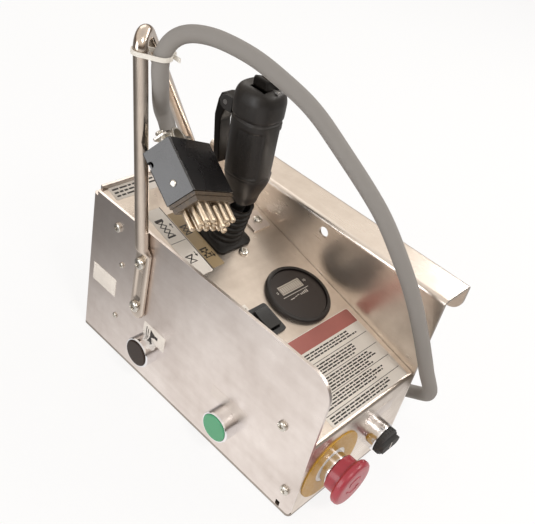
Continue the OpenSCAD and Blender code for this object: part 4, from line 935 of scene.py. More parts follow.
@dataclass
class Cable:
    """The grey cable from the gland to the connector, its tie and the connector's own pieces."""
    diameter: float = 12.2
    length: float = 0.5515
    steps: int = 8
    route: Sequence[Point] = (
        (86, -103, 22), (95, -104, 20.5), (102, -112, 21), (104, -125, 27), (99, -137, 38), (90, -142, 51),
        (80, -144, 64), (70, -144, 78), (61, -142, 93), (54, -138, 110), (47, -130, 133), (41, -117, 160),
        (32, -102, 188), (20, -77, 224), (5, -39, 260), (-4, -16, 279), (-13, 7, 291), (-23, 27, 300),
        (-34, 46, 305), (-43, 58, 306), (-51, 66, 304), (-58, 70, 299), (-63, 72, 290), (-64, 72, 280),
        (-62, 72, 268), (-58, 75, 258), (-53, 79, 248), (-49, 81, 240), (-47, 78, 233), (-48.3, 71.7, 226.8))
    # The tie: the middles of the tube and of the cable at its height, and its own sizes
    tie_leg: Pair = (-72.7, 83.4)
    tie_cable: Pair = (-63.4, 72.2)
    tie_z: float = 288.0
    tie_gap: float = 0.35
    tie_t: float = 1.2
    tie_half_h: float = 1.65
    tie_head: Point = (4.0, 5.2, 4.2)
    tie_tail: Point = (0.9, 9.4, 3.2)
    tie_teeth: int = 9
    tooth: Point = (0.35, 0.4, 2.6)
    tooth_step: float = 0.9
    tube_d: float = 10.5
    # The connector: its cap, its blades and its clamp
    cap: Pair = (58.0, 25.0)
    cap_l: float = 49.0
    rows: int = 3
    columns: int = 5
    blade_w: float = 5.4
    blade_t: float = 3.8
    blade_root: float = 16.0
    blade_out: float = 15.0
    long_blade_out: float = 20.0
    long_blades: Sequence[tuple[int, int]] = ((2, 0), (3, 1))
    tip_inset: float = 2.5
    clamp_base: Point = (38.0, 17.0, 2.0)
    hoop_r: Pair = (6.6, 8.4)
    hoop_half_w: float = 6.2
    hoop_up: float = 6.2
    ear: Point = (9.0, 11.0, 2.0)
    ear_x: float = 14.5
    ear_leg: float = 2.4
    ear_leg_x: float = 9.6
    ear_top: float = 9.0

    def line(self) -> list[Vector]:
        """The cable's own line, smooth through its points.

        Returns:
            Its points, in metres.
        """
        p = [Vector(q) * MM for q in self.route]
        found = []
        for i in range(len(p) - 1):
            b, c = p[i], p[i + 1]
            a = p[i - 1] if i else 2 * b - c
            d = p[i + 2] if i + 2 < len(p) else 2 * c - b
            for k in range(self.steps):
                t = k / self.steps
                found.append((2 * b + (c - a) * t + (2 * a - 5 * b + 4 * c - d) * t * t
                              + (3 * b - a - 3 * c + d) * t ** 3) / 2)
        return [*found, p[-1]]

    def jacket(self) -> bpy.types.Object:
        """The cable as a curve with a round section.

        Returns:
            The curve object.
        """
        data = bpy.data.curves.new("cable_jacket", "CURVE")
        data.dimensions = "3D"
        data.bevel_depth = self.diameter / 2 * MM
        data.bevel_resolution = 10
        data.use_fill_caps = True
        spots = self.line()
        spline = data.splines.new("POLY")
        spline.points.add(len(spots) - 1)
        spline.points.foreach_set("co", [c for s in spots for c in (*s, 1.0)])
        spline.use_smooth = True
        made = stand("cable_jacket", data)
        data.materials.append(CABLE_GREY.build())
        return made

    def tie_line(self, grow: float) -> list[Vector]:
        """The tie's line round the handle and the cable.

        Args:
            grow: how far it keeps from both.

        Returns:
            Its points, in millimetres.
        """
        leg, held = Vector(self.tie_leg), Vector(self.tie_cable)
        way = (held - leg).normalized()
        first = math.atan2(way.x, -way.y)
        found = []
        for centre, radius, start in ((leg, self.tube_d / 2, first),
                                      (held, self.diameter / 2, first - math.pi)):
            for i in range(19):
                a = start + math.pi * i / 18
                found.append(centre + Vector((math.cos(a), math.sin(a))) * (radius + grow))
        return found

    def tie(self) -> bpy.types.Object:
        """The nylon tie: a thin band round the handle and the cable, its head and its toothed tail.

        Returns:
            The tie as one mesh object.
        """
        low, high = self.tie_z - self.tie_half_h, self.tie_z + self.tie_half_h
        rings = [[Vector((q.x, q.y, z)) * MM for q, z in ((a, low), (b, low), (b, high), (a, high))]
                 for a, b in zip(self.tie_line(self.tie_gap), self.tie_line(self.tie_gap + self.tie_t))]
        shape = Shape().loft([*rings, rings[0]], ends=False)
        band = apply_modifiers(finish_piece(shape.object("tie_band"), TIE_WHITE, bevel=0.25))
        edge, y = self.tie_cable[0] + self.diameter / 2, self.tie_cable[1]
        wide, long, tall = self.tie_head
        shape = Shape().prism(Place((edge + 2.6, y - 0.2, self.tie_z), (0, 0, 8)), rounded(wide, long, 0.8),
                              -tall / 2, tall / 2)
        head = apply_modifiers(finish_piece(shape.object("tie_head"), TIE_WHITE, bevel=0.35))
        wide, long, tall = self.tie_tail
        shape = Shape().prism(Place((edge + 1.1, y - 6.2, self.tie_z), (0, 0, -4)), rounded(wide, long, 0.4),
                              -tall / 2, tall / 2)
        tail = finish_piece(shape.object("tie_tail"), TIE_WHITE)
        teeth = BARS.run("tie_teeth", EMPTY, TIE_WHITE, Count=self.tie_teeth, First=(0.0, 0.0, 0.0),
                         Step=(0.0, self.tooth_step * MM, 0.0), Bar=tuple(s * MM for s in self.tooth),
                         **where(Place((edge + 1.6, y - 9.6, self.tie_z), (0, 0, -4))))
        return join("cable_tie_band", [band, head, teeth, tail])

    def blades(self) -> bpy.types.Object:
        """The connector's blades: flat pins with round tips, two of them longer.

        Returns:
            The blades as one mesh object.
        """
        half = self.blade_w / 2
        tip = [(half * math.cos(a), half * math.sin(a))
               for a in (math.pi + math.pi * i / 12 for i in range(1, 12))]
        outline = [(-half, self.blade_root), (-half, 0), *tip, (half, 0), (half, self.blade_root)]
        shape = Shape().prism(Place(turn=(90, 0, 0)), outline, -self.blade_t / 2, self.blade_t / 2)
        pin = finish_piece(shape.object("pin_original"), NICKEL, bevel=1.25, steps=3)
        spots = []
        for r in range(self.rows):
            for c in range(self.columns):
                x = self.cap[0] * (0.16 + 0.68 * c / (self.columns - 1)) + (r % 2) * 2
                y = self.cap[1] * (0.25 + 0.5 * r / (self.rows - 1))
                out = self.long_blade_out if (c, r) in self.long_blades else self.blade_out
                spots.append(PLUG.moved(x, y, self.tip_inset - self.cap_l - out).matrix())
        made = COPIES.run("connector_blades", points_mesh("blade_spots", spots), NICKEL, Original=pin,
                          Scale=1.0)
        bpy.data.objects.remove(pin)
        made.data.set_sharp_from_angle(angle=math.radians(50))
        return made

    def clamp(self) -> bpy.types.Object:
        """The cable clamp on the connector: a base, and a saddle with two ears, bent from strip.

        Returns:
            The clamp as one mesh object.
        """
        x, y = self.cap[0] / 2, self.cap[1] / 2
        wide, deep, thick = self.clamp_base
        def section(turn: float, up: float) -> list[Vector]:
            """The saddle's section at an angle."""
            (inner, outer), w = self.hoop_r, self.hoop_half_w
            return [PLUG.at(x + r * math.cos(turn), y + across, up + r * math.sin(turn))
                    for r, across in ((inner, -w), (outer, -w), (outer, w), (inner, w))]
        rings = [section(math.pi * i / 24, self.hoop_up) for i in range(25)]
        ears = Shape()
        ear_w, ear_d, ear_t = self.ear
        for side in (-1, 1):
            ears.prism(PLUG.moved(x + side * self.ear_x, y), rounded(ear_w, ear_d, 1.5),
                       self.ear_top - ear_t, self.ear_top)
            ears.prism(PLUG.moved(x + side * self.ear_leg_x, y), rounded(self.ear_leg, ear_d, 0.6),
                       thick, self.ear_top)
        parts = []
        for name, shape, bevel in (
                ("clamp_base", Shape().prism(PLUG.moved(x, y), rounded(wide, deep, 3), 0.0, thick), 0.4),
                ("clamp_saddle", Shape().loft([section(0, thick), *rings, section(math.pi, thick)]), 0.3),
                ("clamp_ears", ears, 0.35)):
            parts.append(apply_modifiers(finish_piece(shape.object(name), ZINC, bevel=bevel)))
        return join("connector_clamp", parts)

    def build(self) -> None:
        """Makes the cable with all that is on it."""
        jacket = self.jacket()
        place_on(jacket, "enclosure", ["cable"])
        blades = place_on(self.blades(), "enclosure", ["plug_blades"])
        clamp = place_on(self.clamp(), "enclosure", ["plug_clamp"])
        place_on(self.tie(), "enclosure", ["cable_tie"])


# The enclosure


@dataclass
class Handle:
    """The bent guard handle: a round tube with two flattened feet and a pressed groove in each."""
    tube_d: float = 10.5
    foot_w: float = 16.0
    foot_t: float = 5.0
    left_y: float = 60.5
    rear_x: float = 52.0
    left_bolts: Pair = (75.5, 120.5)
    rear_bolts: Pair = (70.0, 104.0)
    apex: Point = (-73.05, 87.0, 312.5)
    apex_r: float = 9.0
    rear_r: float = 26.0
    rear_bend: Pair = (3.0, 144.0)
    rear_drop: Pair = (1.0, 132.0)
    gap: float = 0.3
    end_over: float = 5.0
    # How square the sections of the feet and of the tube are
    flat_power: float = 7.0
    round_power: float = 2.0
    # The groove: its ends' distance from the bolts, its ramps, its depth and its half widths
    groove_in: float = 6.0
    groove_ramp: float = 3.0
    groove_deep: float = 1.5
    groove_w: Pair = (2.2, 4.4)
    half: int = 40
    twist_steps: int = 40

    def ring(self, centre: Vector, wide: Vector, out: Vector, size: Pair, power: float,
             groove: float = 0.0) -> list[Vector]:
        """One section of the tube.

        Args:
            centre: its middle, in millimetres.
            wide, out: the directions of its width and of its thickness.
            size: half its width and half its thickness.
            power: how square it is; two is round.
            groove: how much of the groove's depth is pressed into its outer side.

        Returns:
            The section's points, in metres.
        """
        a, b = size
        found = []
        for face in (1, -1):
            for j in range(self.half):
                s = math.sin(math.pi * (j / self.half - 0.5)) * (-face)
                t = b * math.sqrt(max(0.0, 1 - abs(s) ** power)) * face
                if face > 0:
                    t -= self.groove_deep * groove * (1 - smooth_step(abs(s * a), *self.groove_w))
                found.append((centre + wide * (s * a) + out * t) * MM)
        return found

    def fillet(self, a: Vector, b: Vector, c: Vector, radius: float, count: int) -> list[Vector]:
        """A rounded corner.

        Args:
            a, b, c: the line before the corner, the corner and the line after it.
            radius: the corner's radius.
            count: how many steps it has.

        Returns:
            The points of its arc.
        """
        u, w = (a - b).normalized(), (c - b).normalized()
        angle = u.angle(w)
        centre = b + (u + w).normalized() * radius / math.sin(angle / 2)
        first, last = (b + way * radius / math.tan(angle / 2) - centre for way in (u, w))
        e1 = first.normalized()
        e2 = (e1.cross(last).normalized()).cross(e1)
        turns = [(math.pi - angle) * i / count for i in range(count + 1)]
        return [centre + radius * (math.cos(a) * e1 + math.sin(a) * e2) for a in turns]

    def foot(self, x: float, y: float, bolts: Pair, wide: Vector, out: Vector) -> list[list[Vector]]:
        """One flattened foot with its groove.

        Args:
            x, y: where its middle is.
            bolts: the heights of its bolts.
            wide, out: the directions of its width and of its outer side.

        Returns:
            Its sections, from its round end to its top.
        """
        radius = self.foot_w / 2
        low, top = bolts[0] - self.end_over, bolts[1] + radius
        heights = [(low - radius * math.sin(math.radians(a)), radius * math.cos(math.radians(a)))
                   for a in (89, 80, 70, 60, 50, 40, 30, 20, 10)]
        heights += [(low + (top - low) * i / 34, radius) for i in range(35)]
        start, end = bolts[0] + self.groove_in, bolts[1] - self.groove_in
        rings = []
        for z, a in heights:
            groove = smooth_step(z, start, start + self.groove_ramp) \
                * (1 - smooth_step(z, end - self.groove_ramp, end))
            edge = min(1.0, 0.5 + a / radius / 2)
            rings.append(self.ring(Vector((x, y, z)), wide, out, (max(a, 0.4), self.foot_t / 2 * edge),
                                   self.flat_power, groove))
        return rings

    def change(self, start: Vector, end: Vector, eased: int, wide: Vector, out: Vector,
               to_tube: bool) -> list[list[Vector]]:
        """The change from a flat foot to the round tube, or back.

        Args:
            start, end: the middles of the sections that it joins.
            eased: the axis along which its line bends smoothly.
            wide, out: the directions of the sections' width and thickness.
            to_tube: whether it goes from foot to tube.

        Returns:
            Its sections.
        """
        found = []
        for i in range(1, 9):
            t = smooth_step(i / 8, 0, 1)
            centre = start.lerp(end, i / 8)
            centre[eased] = start[eased] + (end[eased] - start[eased]) * t
            share = t if to_tube else 1 - t
            size = tuple((flat + (self.tube_d - flat) * share) / 2 for flat in (self.foot_w, self.foot_t))
            power = self.flat_power + (self.round_power - self.flat_power) * share
            found.append(self.ring(centre, wide, out, size, power))
        return found

    def build(self) -> None:
        """Makes the handle as one skin from foot to foot."""
        back, aside = Vector((0, 1, 0)), Vector((-1, 0, 0))
        left_x, rear_y = -BODY_HALF_W - self.foot_t / 2, BODY_HALF_L + self.foot_t / 2
        rings = self.foot(left_x, self.left_y, self.left_bolts, back, aside)
        low = Vector((left_x, self.left_y, self.left_bolts[1] + self.foot_w / 2))
        lean = Vector((-BODY_HALF_W - self.tube_d / 2 - self.gap, self.left_y + 0.5, low.z + 8))
        rings += self.change(low, lean, 0, back, aside, True)
        apex = Vector(self.apex)
        bend, bottom = (Vector((self.rear_x, BODY_HALF_L + self.tube_d / 2 + away, up))
                        for away, up in (self.rear_bend, self.rear_drop))
        line = [lean.lerp(apex, 0.02 + 0.9 * i / 6) for i in range(6)]
        line += self.fillet(lean, apex, bend, self.apex_r, 22)
        leg_start = line[-1]
        corner = self.fillet(apex, bend, bottom, self.rear_r, 12)
        line += [leg_start.lerp(corner[0], i / self.twist_steps) for i in range(1, self.twist_steps)]
        first_leg = len(line) - self.twist_steps
        line += [*corner, bottom + Vector((0, 0, -1))]
        for i, spot in enumerate(line):
            before, after = line[max(0, i - 1)], line[min(len(line) - 1, i + 1)]
            way = (after - before).normalized()
            turn = smooth_step(i, first_leg, first_leg + self.twist_steps)
            hint = Matrix.Rotation(math.radians(90) * turn, 3, "Z") @ back
            wide = (hint - way * way.dot(hint)).normalized()
            rings.append(self.ring(spot, wide, way.cross(wide), (self.tube_d / 2, self.tube_d / 2),
                                   self.round_power))
        end = Vector((self.rear_x, rear_y, self.rear_bolts[1] + self.foot_w / 2))
        rings += self.change(line[-1], end, 1, aside, back, False)
        rings += self.foot(self.rear_x, rear_y, self.rear_bolts, aside, back)[-2::-1]
        made = Shape().loft(rings).object("guard_tube")
        finish_piece(made, TUBE, sharp=50)
        place_on(made, "enclosure", ["guard_handle"])


class Screw(Enum):
    """The screws' sizes: shank, length, head and the head's height."""
    RIM = (4.0, 7.0, 8.4, 2.8)
    SMALL = (3.0, 7.0, 5.2, 1.8)
    BOLT = (6.0, 16.0, 10.5, 3.8)


@dataclass
class Screws:
    """Cross-recessed screws and bolts in the places that the CAD gives them."""
    # Along and up on the side plates; across, along and up on the panel
    rim: Sequence[Pair] = ((96.9, 130.3), (-103.6, 80.9), (-122.2, 24.8))
    strip: Sequence[Pair] = ((87.9, 97.3), (89.9, 39.8))
    panel: Sequence[Point] = ((12.8, 164.4, 0.0), (49.3, 187.0, 1.5), (4.2, 211.6, 0.0))
    sharp: float = 35.0
    seed: int = 7

    def original(self, size: Screw) -> bpy.types.Object:
        """One screw, its head up from the origin, with a cross cut in it.

        Args:
            size: which screw.

        Returns:
            The screw as a plain mesh object.
        """
        name = size.name.lower() + "_original"
        shank, long, head, tall = size.value
        arc = [(head / 2 * math.cos(a) ** 0.75, tall * (0.42 + 0.58 * math.sin(a)))
               for a in (math.radians(6 * i) for i in range(15))]
        profile = [(0.01, -long), (shank / 2, -long), (shank / 2, 0.0), (head / 2 - 0.15, 0.0),
                   (head / 2, 0.15), *arc, (head * 0.04, tall)]
        body = Shape().lathe(Place(), profile, 40).object(name)
        wide, thin = head * 0.27, head * 0.085
        cut = Shape()
        slot = ((-wide, -thin), (wide, -thin), (wide, thin), (-wide, thin))
        for turn in (0, 90):
            spot = Place(turn=(0, 0, turn))
            cut.loft([[spot.at(x * s, y * s, z) for x, y in slot]
                      for z, s in ((tall * 0.3, 0.55), (tall * 1.2, 1.12))])
        cutter = cut.object(name + "_cut", merge=1e-9)
        finish_piece(body, ZINC)
        carve = body.modifiers.new("cross", "BOOLEAN")
        carve.operation, carve.object, carve.solver = "DIFFERENCE", cutter, "EXACT"
        carve.use_self = True
        apply_modifiers(body)
        bpy.data.objects.remove(cutter)
        body.data.set_sharp_from_angle(angle=math.radians(self.sharp))
        return body

    def set_in(self, name: str, original: bpy.types.Object, places: Sequence[Place],
               chance: random.Random) -> bpy.types.Object:
        """Copies a screw to its places, each turned by chance.

        Args:
            name: the new object's name.
            original: the screw.
            places: where the screws go.
            chance: what turns them.

        Returns:
            The screws as one mesh object.
        """
        spots = [p.matrix() @ Matrix.Rotation(chance.uniform(0, math.pi / 2), 4, "Z") for p in places]
        made = COPIES.run(name, points_mesh(name + "_spots", spots), ZINC, Original=original, Scale=1.0)
        made.data.set_sharp_from_angle(angle=math.radians(self.sharp))
        return made

    def build(self) -> None:
        """Makes every screw that shows."""
        chance = random.Random(self.seed)
        rim, small, bolt = (self.original(size) for size in (Screw.RIM, Screw.SMALL, Screw.BOLT))
        sides = [side(y, z) for side in (left, right) for y, z in self.rim]
        both = [self.set_in("rim_row", rim, sides, chance),
                self.set_in("strip_row", small, [left(y, z) for y, z in self.strip], chance)]
        place_on(join("side_screw_heads", both), "enclosure", ["side_screws"])
        top = [PANEL.moved(u, v, w) for u, v, w in self.panel]
        place_on(self.set_in("panel_screw_heads", rim, top, chance), "enclosure", ["panel_screws"])
        feet = [left(Handle.left_y, z) for z in Handle.left_bolts]
        feet += [rear(Handle.rear_x, z) for z in Handle.rear_bolts]
        on_feet = [p.moved(0, 0, Handle.foot_t) for p in feet]
        place_on(self.set_in("handle_bolt_heads", bolt, on_feet, chance), "enclosure",
                 ["handle_bolts"])
        for original in (rim, small, bolt):
            bpy.data.objects.remove(original)


@dataclass
class Labels:
    """Bare labels and plain printed marks, each a thin film on its plate."""
    film: float = 0.14
    ink: float = 0.05
    sunk: float = 0.01
    label_u: Pair = (-38.0, 57.0)
    label_v: Pair = (3.0, 77.0)
    edge: float = 0.6
    band_v: float = 62.8
    rules: Sequence[float] = (12.6, 25.2, 38.9, 51.2)
    blocks: Sequence[tuple[float, int, float]] = (
        (60.0, 3, 0.93), (48.6, 4, 0.86), (36.6, 5, 0.95), (23.0, 4, 0.9), (10.2, 3, 0.82))
    line_pitch: float = 2.35
    print_h: float = 1.3
    rear_lines: Sequence[Pair] = ((266.2, 50.0), (262.4, 47.0), (258.6, 30.0))
    rear_print_h: float = 1.9
    # The strips beside the stick: their middles and their sizes
    white_at: Pair = (-33.0, 197.8)
    white_size: Pair = (16.4, 74.0)
    tan_at: Pair = (-17.2, 193.8)
    tan_size: Pair = (12.6, 63.0)
    seed: int = 11

    def lay(self, name: str, place: Place, outline: Sequence[Pair], finish: Finish = VINYL,
            lift: float = 0.0, thick: float | None = None) -> None:
        """Lays one film.

        Args:
            name: the object's name.
            place: the frame that its outline is in.
            outline: its outline.
            finish: what it is made of.
            lift: how far above the frame it lies.
            thick: its thickness, or none for a label's own.
        """
        shape = Shape().prism(place, outline, lift, lift + (thick or self.film))
        place_on(finish_piece(shape.object(name), finish, sharp=30), "enclosure")

    def marks(self, name: str, place: Place, outlines: Sequence[Sequence[Pair]]) -> None:
        """Prints marks on a film.

        Args:
            name: the object's name.
            place: the film's frame.
            outlines: the marks' outlines.
        """
        shape = Shape()
        for outline in outlines:
            shape.prism(place, outline, self.film - self.sunk, self.film + self.ink)
        place_on(finish_piece(shape.object(name), INK, sharp=30), "enclosure")

    def print_rows(self, name: str, rows: Sequence[Point], tall: float, chance: random.Random) -> None:
        """Prints rows of plain dashes, as long as words, on a label of the panel.

        Args:
            name: the object's name.
            rows: each row's left end, height on the panel and length.
            tall: how tall the dashes are.
            chance: what makes the dashes' lengths.
        """
        shape = Shape().prism(Place(), [(-0.5, -0.5), (0.5, -0.5), (0.5, 0.5), (-0.5, 0.5)], 0.0, self.ink)
        dash = finish_piece(shape.object(name + "_dash"), INK)
        spots, sizes = [], []
        for start, v, length in rows:
            along = start
            while along < start + length - tall:
                long = min(chance.uniform(1.6, 5.2) * tall, start + length - along)
                spots.append(PANEL.moved(along + long / 2, v, self.film - self.sunk).matrix())
                sizes.append((long, tall * chance.uniform(0.86, 1.0), 1.0))
                along += long + tall * 0.62
        made = COPIES.run(name, points_mesh(name + "_spots", spots, sizes), INK, Original=dash, Scale=1.0)
        bpy.data.objects.remove(dash)
        place_on(made, "enclosure")

    def arrow(self, u: float, v: float, size: float, way: int) -> list[list[Pair]]:
        """A plain arrow along v.

        Args:
            u, v: the middle of its head's foot.
            size: how wide its head is.
            way: 1 for up and -1 for down.

        Returns:
            The outlines of its head and its stem.
        """
        half, end = size * 0.12, v - way * size
        head = [(u - size / 2, v), (u + size / 2, v), (u, v + way * size * 0.8)]
        stem = [(u - half, end), (u + half, end), (u + half, v), (u - half, v)]
        return [part[::way] for part in (head, stem)]

    def crossed(self, u: float, v: float, wide: float, tall: float, rows: int) -> list[list[Pair]]:
        """A column of crossed bars between two plain decks, as a simple lift mark.

        Args:
            u, v: its middle.
            wide, tall: its size.
            rows: how many crosses stand on each other.

        Returns:
            The outlines of its decks and bars.
        """
        found = [rounded(wide * 1.25, tall * 0.1, 0.15, 2, (u, v - tall / 2)),
                 rounded(wide * 1.25, tall * 0.16, 0.2, 2, (u, v + tall / 2))]
        step = tall * 0.86 / rows
        for k in range(rows):
            low = v - tall * 0.43 + step * k
            for way in (-1, 1):
                a, b = Vector((u - way * wide / 2, low)), Vector((u + way * wide / 2, low + step))
                n = Vector((a.y - b.y, b.x - a.x)).normalized() * wide * 0.075
                found.append([tuple(a - n), tuple(b - n), tuple(b + n), tuple(a + n)])
        return found

    def main_label(self) -> None:
        """The large label: a white field with plain rules below a plain band, with no words."""
        (low_u, high_u), (low_v, high_v) = self.label_u, self.label_v
        middle, wide = (low_u + high_u) / 2, high_u - low_u
        self.lay("main_label", PANEL, rounded(wide, high_v - low_v, 2.5, 6, (middle, (low_v + high_v) / 2)))
        top = rounded(wide - 2 * self.edge, (high_v - self.edge - self.band_v) * 2, 2.0, 6,
                      (middle, self.band_v))
        band = [(low_u + self.edge, self.band_v), (high_u - self.edge, self.band_v),
                *(p for p in top if p[1] > self.band_v + self.sunk)]
        self.lay("main_label_band", PANEL, band, VINYL_RED, self.film - self.sunk, self.ink)
        self.marks("main_label_rules", PANEL, [rounded(wide - 3.0, 0.45, 0.1, 1, (middle, v))
                                               for v in self.rules])
        chance = random.Random(self.seed)
        rows = [(low_u + 3, start - self.line_pitch * k, (wide - 6) * share * chance.uniform(0.8, 1))
                for start, count, share in self.blocks for k in range(count)]
        self.print_rows("main_label_print", rows, self.print_h, chance)

    def strips(self) -> None:
        """The two strips beside the stick, with arrows and plain lift marks."""
        (white_u, white_v), (wide, tall) = self.white_at, self.white_size
        tan_u = self.tan_at[0] - 1.4
        self.lay("strip_white", PANEL, rounded(wide, tall, 0.8, 4, self.white_at))
        self.lay("strip_tan", PANEL, rounded(*self.tan_size, 0.8, 4, self.tan_at), VINYL_TAN)
        edge = [rounded(0.7, tall, 0.1, 1, (-24.5, white_v)),
                rounded(wide - 1.0, 0.5, 0.1, 1, (white_u, 197.0))]
        wheels = [rounded(2.2, 1.6, 0.2, 2, (tan_u + dx, 178.0 + dy)) for dx in (-2.6, 2.6)
                  for dy in (-2, 2)]
        self.marks("strip_marks", PANEL, [
            *edge, *self.arrow(-27.6, 214.5, 3.0, 1), *self.arrow(-27.6, 180.5, 3.0, -1),
            *self.crossed(-34.6, 213.0, 6.4, 18.0, 3), *self.crossed(-34.6, 178.0, 6.4, 7.0, 1),
            *self.arrow(-13.6, 206.0, 3.4, 1), *self.arrow(-13.6, 174.0, 3.4, -1),
            *self.crossed(tan_u, 205.0, 6.0, 9.0, 2), *self.crossed(tan_u, 178.0, 6.0, 9.0, 1), *wheels])

    def small_ones(self) -> None:
        """The small labels: by the rear edge, by the switch, on the left plate and on the front."""
        self.lay("rear_label", PANEL, rounded(58, 14.5, self.edge, 3, (-24.0, 262.2)))
        self.print_rows("rear_label_print", [(-50.5, v, length) for v, length in self.rear_lines],
                        self.rear_print_h, random.Random(self.seed + 1))
        self.lay("switch_label", PANEL, rounded(13, 15, self.edge, 3, (-30.5, 114.5)))
        bars = [rounded(3.2, 0.9, 0.1, 1, (-27.5, v)) for v in (110.5, 113.0, 115.5, 118.0)]
        self.marks("switch_marks", PANEL, [*self.arrow(-33.5, 114.0, 3.2, 1), *bars])
        self.lay("left_label", left(108.4, 67.7), rounded(18.5, 31, self.edge, 3))
        horn = left(39.0, 54.6)
        self.lay("horn_label", horn, rounded(15.5, 27, self.edge, 3))
        self.marks("horn_marks", horn, [
            [(-1.6, -4.6), (1.6, -4.6), (1.6, -1.6), (-1.6, -1.6)],
            [(-1.2, -1.6), (1.2, -1.6), (4.4, 4.6), (-4.4, 4.6)],
            rounded(6.5, 0.8, 0.2, 2, (0.0, 7.2)), rounded(9.5, 0.8, 0.2, 2, (0.0, 9.4))])
        self.lay("enable_label", left(-52.4, 55.5), rounded(11, 40, self.edge, 3), CLEAR_PATCH, thick=0.1)
        self.lay("selector_label", front(Buttons.select_x, 62.0), rounded(34, 12, self.edge, 3),
                 CLEAR_PATCH, thick=0.1)

    def build(self) -> None:
        """Makes all the labels."""
        self.main_label()
        self.strips()
        self.small_ones()


# The controls


@dataclass
class Gauge:
    """The round gauge: its display, its bars and its marks on the dial."""
    u: float = 25.0
    v: float = 107.5
    top: float = 2.4
    window: Pair = (26.0, 9.0)
    window_at: Pair = (-1.0, 9.0)
    window_z: Pair = (0.3, 1.75)
    bars: int = 10
    bars_z: float = 1.78
    thin: float = 0.06
    number_h: float = 3.4

    def build(self) -> None:
        """Makes what is printed or set in the dial."""
        here = PANEL.moved(self.u, self.v)
        u, v = self.window_at
        wide, tall = self.window
        screen = Shape().prism(here, rounded(wide - 0.3, tall - 0.3, 0.5, 4, (u, v)), *self.window_z)
        place_on(finish_piece(screen.object("gauge_display"), DISPLAY, sharp=30), "enclosure")
        inner = wide - 3.0
        lines = BARS.run("display_lines", EMPTY, INK_GREY, Count=self.bars + 1, First=(0.0, 0.0, 0.0),
                         Step=(inner / self.bars * MM, 0.0, 0.0),
                         Bar=(0.5 * MM, (tall - 3.4) * MM, self.thin * MM),
                         **where(here.moved(u - inner / 2, v, self.bars_z)))
        rims = BARS.run("display_rims", EMPTY, INK_GREY, Count=2, First=(0.0, 0.0, 0.0),
                        Step=(0.0, (tall - 3.0) * MM, 0.0),
                        Bar=((wide - 2.6) * MM, 0.45 * MM, self.thin * MM),
                        **where(here.moved(u, v - (tall - 3.0) / 2, self.bars_z)))
        place_on(join("gauge_display_bars", [lines, rims]), "enclosure")
        marks = Shape()
        for outline in (rounded(5, 0.6, 0.2, 2, (-8.5, -1.6)), rounded(2.2, 0.6, 0.2, 2, (-3.8, -1.0)),
                        rounded(2.2, 0.6, 0.2, 2, (-1.0, -0.6)), rounded(30, 0.45, 0.2, 2, (-1.0, 2.2))):
            marks.prism(here, outline, self.top - 0.02, self.top + 0.05)
        plain = finish_piece(marks.object("dial_dashes"), DIAL_INK)
        rising = BARS.run("dial_steps", EMPTY, DIAL_INK, Count=5, First=(0.0, 0.0, 0.0),
                          Step=(1.9 * MM, 0.14 * MM, 0.0), Bar=(0.9 * MM, 1.5 * MM, 0.08 * MM),
                          Growth=(0.0, 0.28, 0.0), **where(here.moved(2.0, -1.2, self.top)))
        place_on(join("gauge_marks", [plain, rising]), "enclosure")
        for number, place in (("0", (-17.2, 7.4)), ("10", (15.0, 7.4))):
            self.number(number, here.moved(*place, self.top))

    def number(self, number: str, place: Place) -> None:
        """Prints a plain number on the dial.

        Args:
            number: the number.
            place: where the middle of its foot is.
        """
        data = bpy.data.curves.new("number_" + number, "FONT")
        data.body, data.size, data.extrude = number, self.number_h * MM, 0.03 * MM
        data.align_x = "CENTER"
        carrier = stand("number_seed_" + number, data)
        mesh = settled(carrier)
        bpy.data.objects.remove(carrier)
        mesh.transform(place.matrix())
        mesh.materials.clear()
        mesh.materials.append(DIAL_INK.build())
        place_on(stand("dial_number_" + number, mesh), "enclosure")


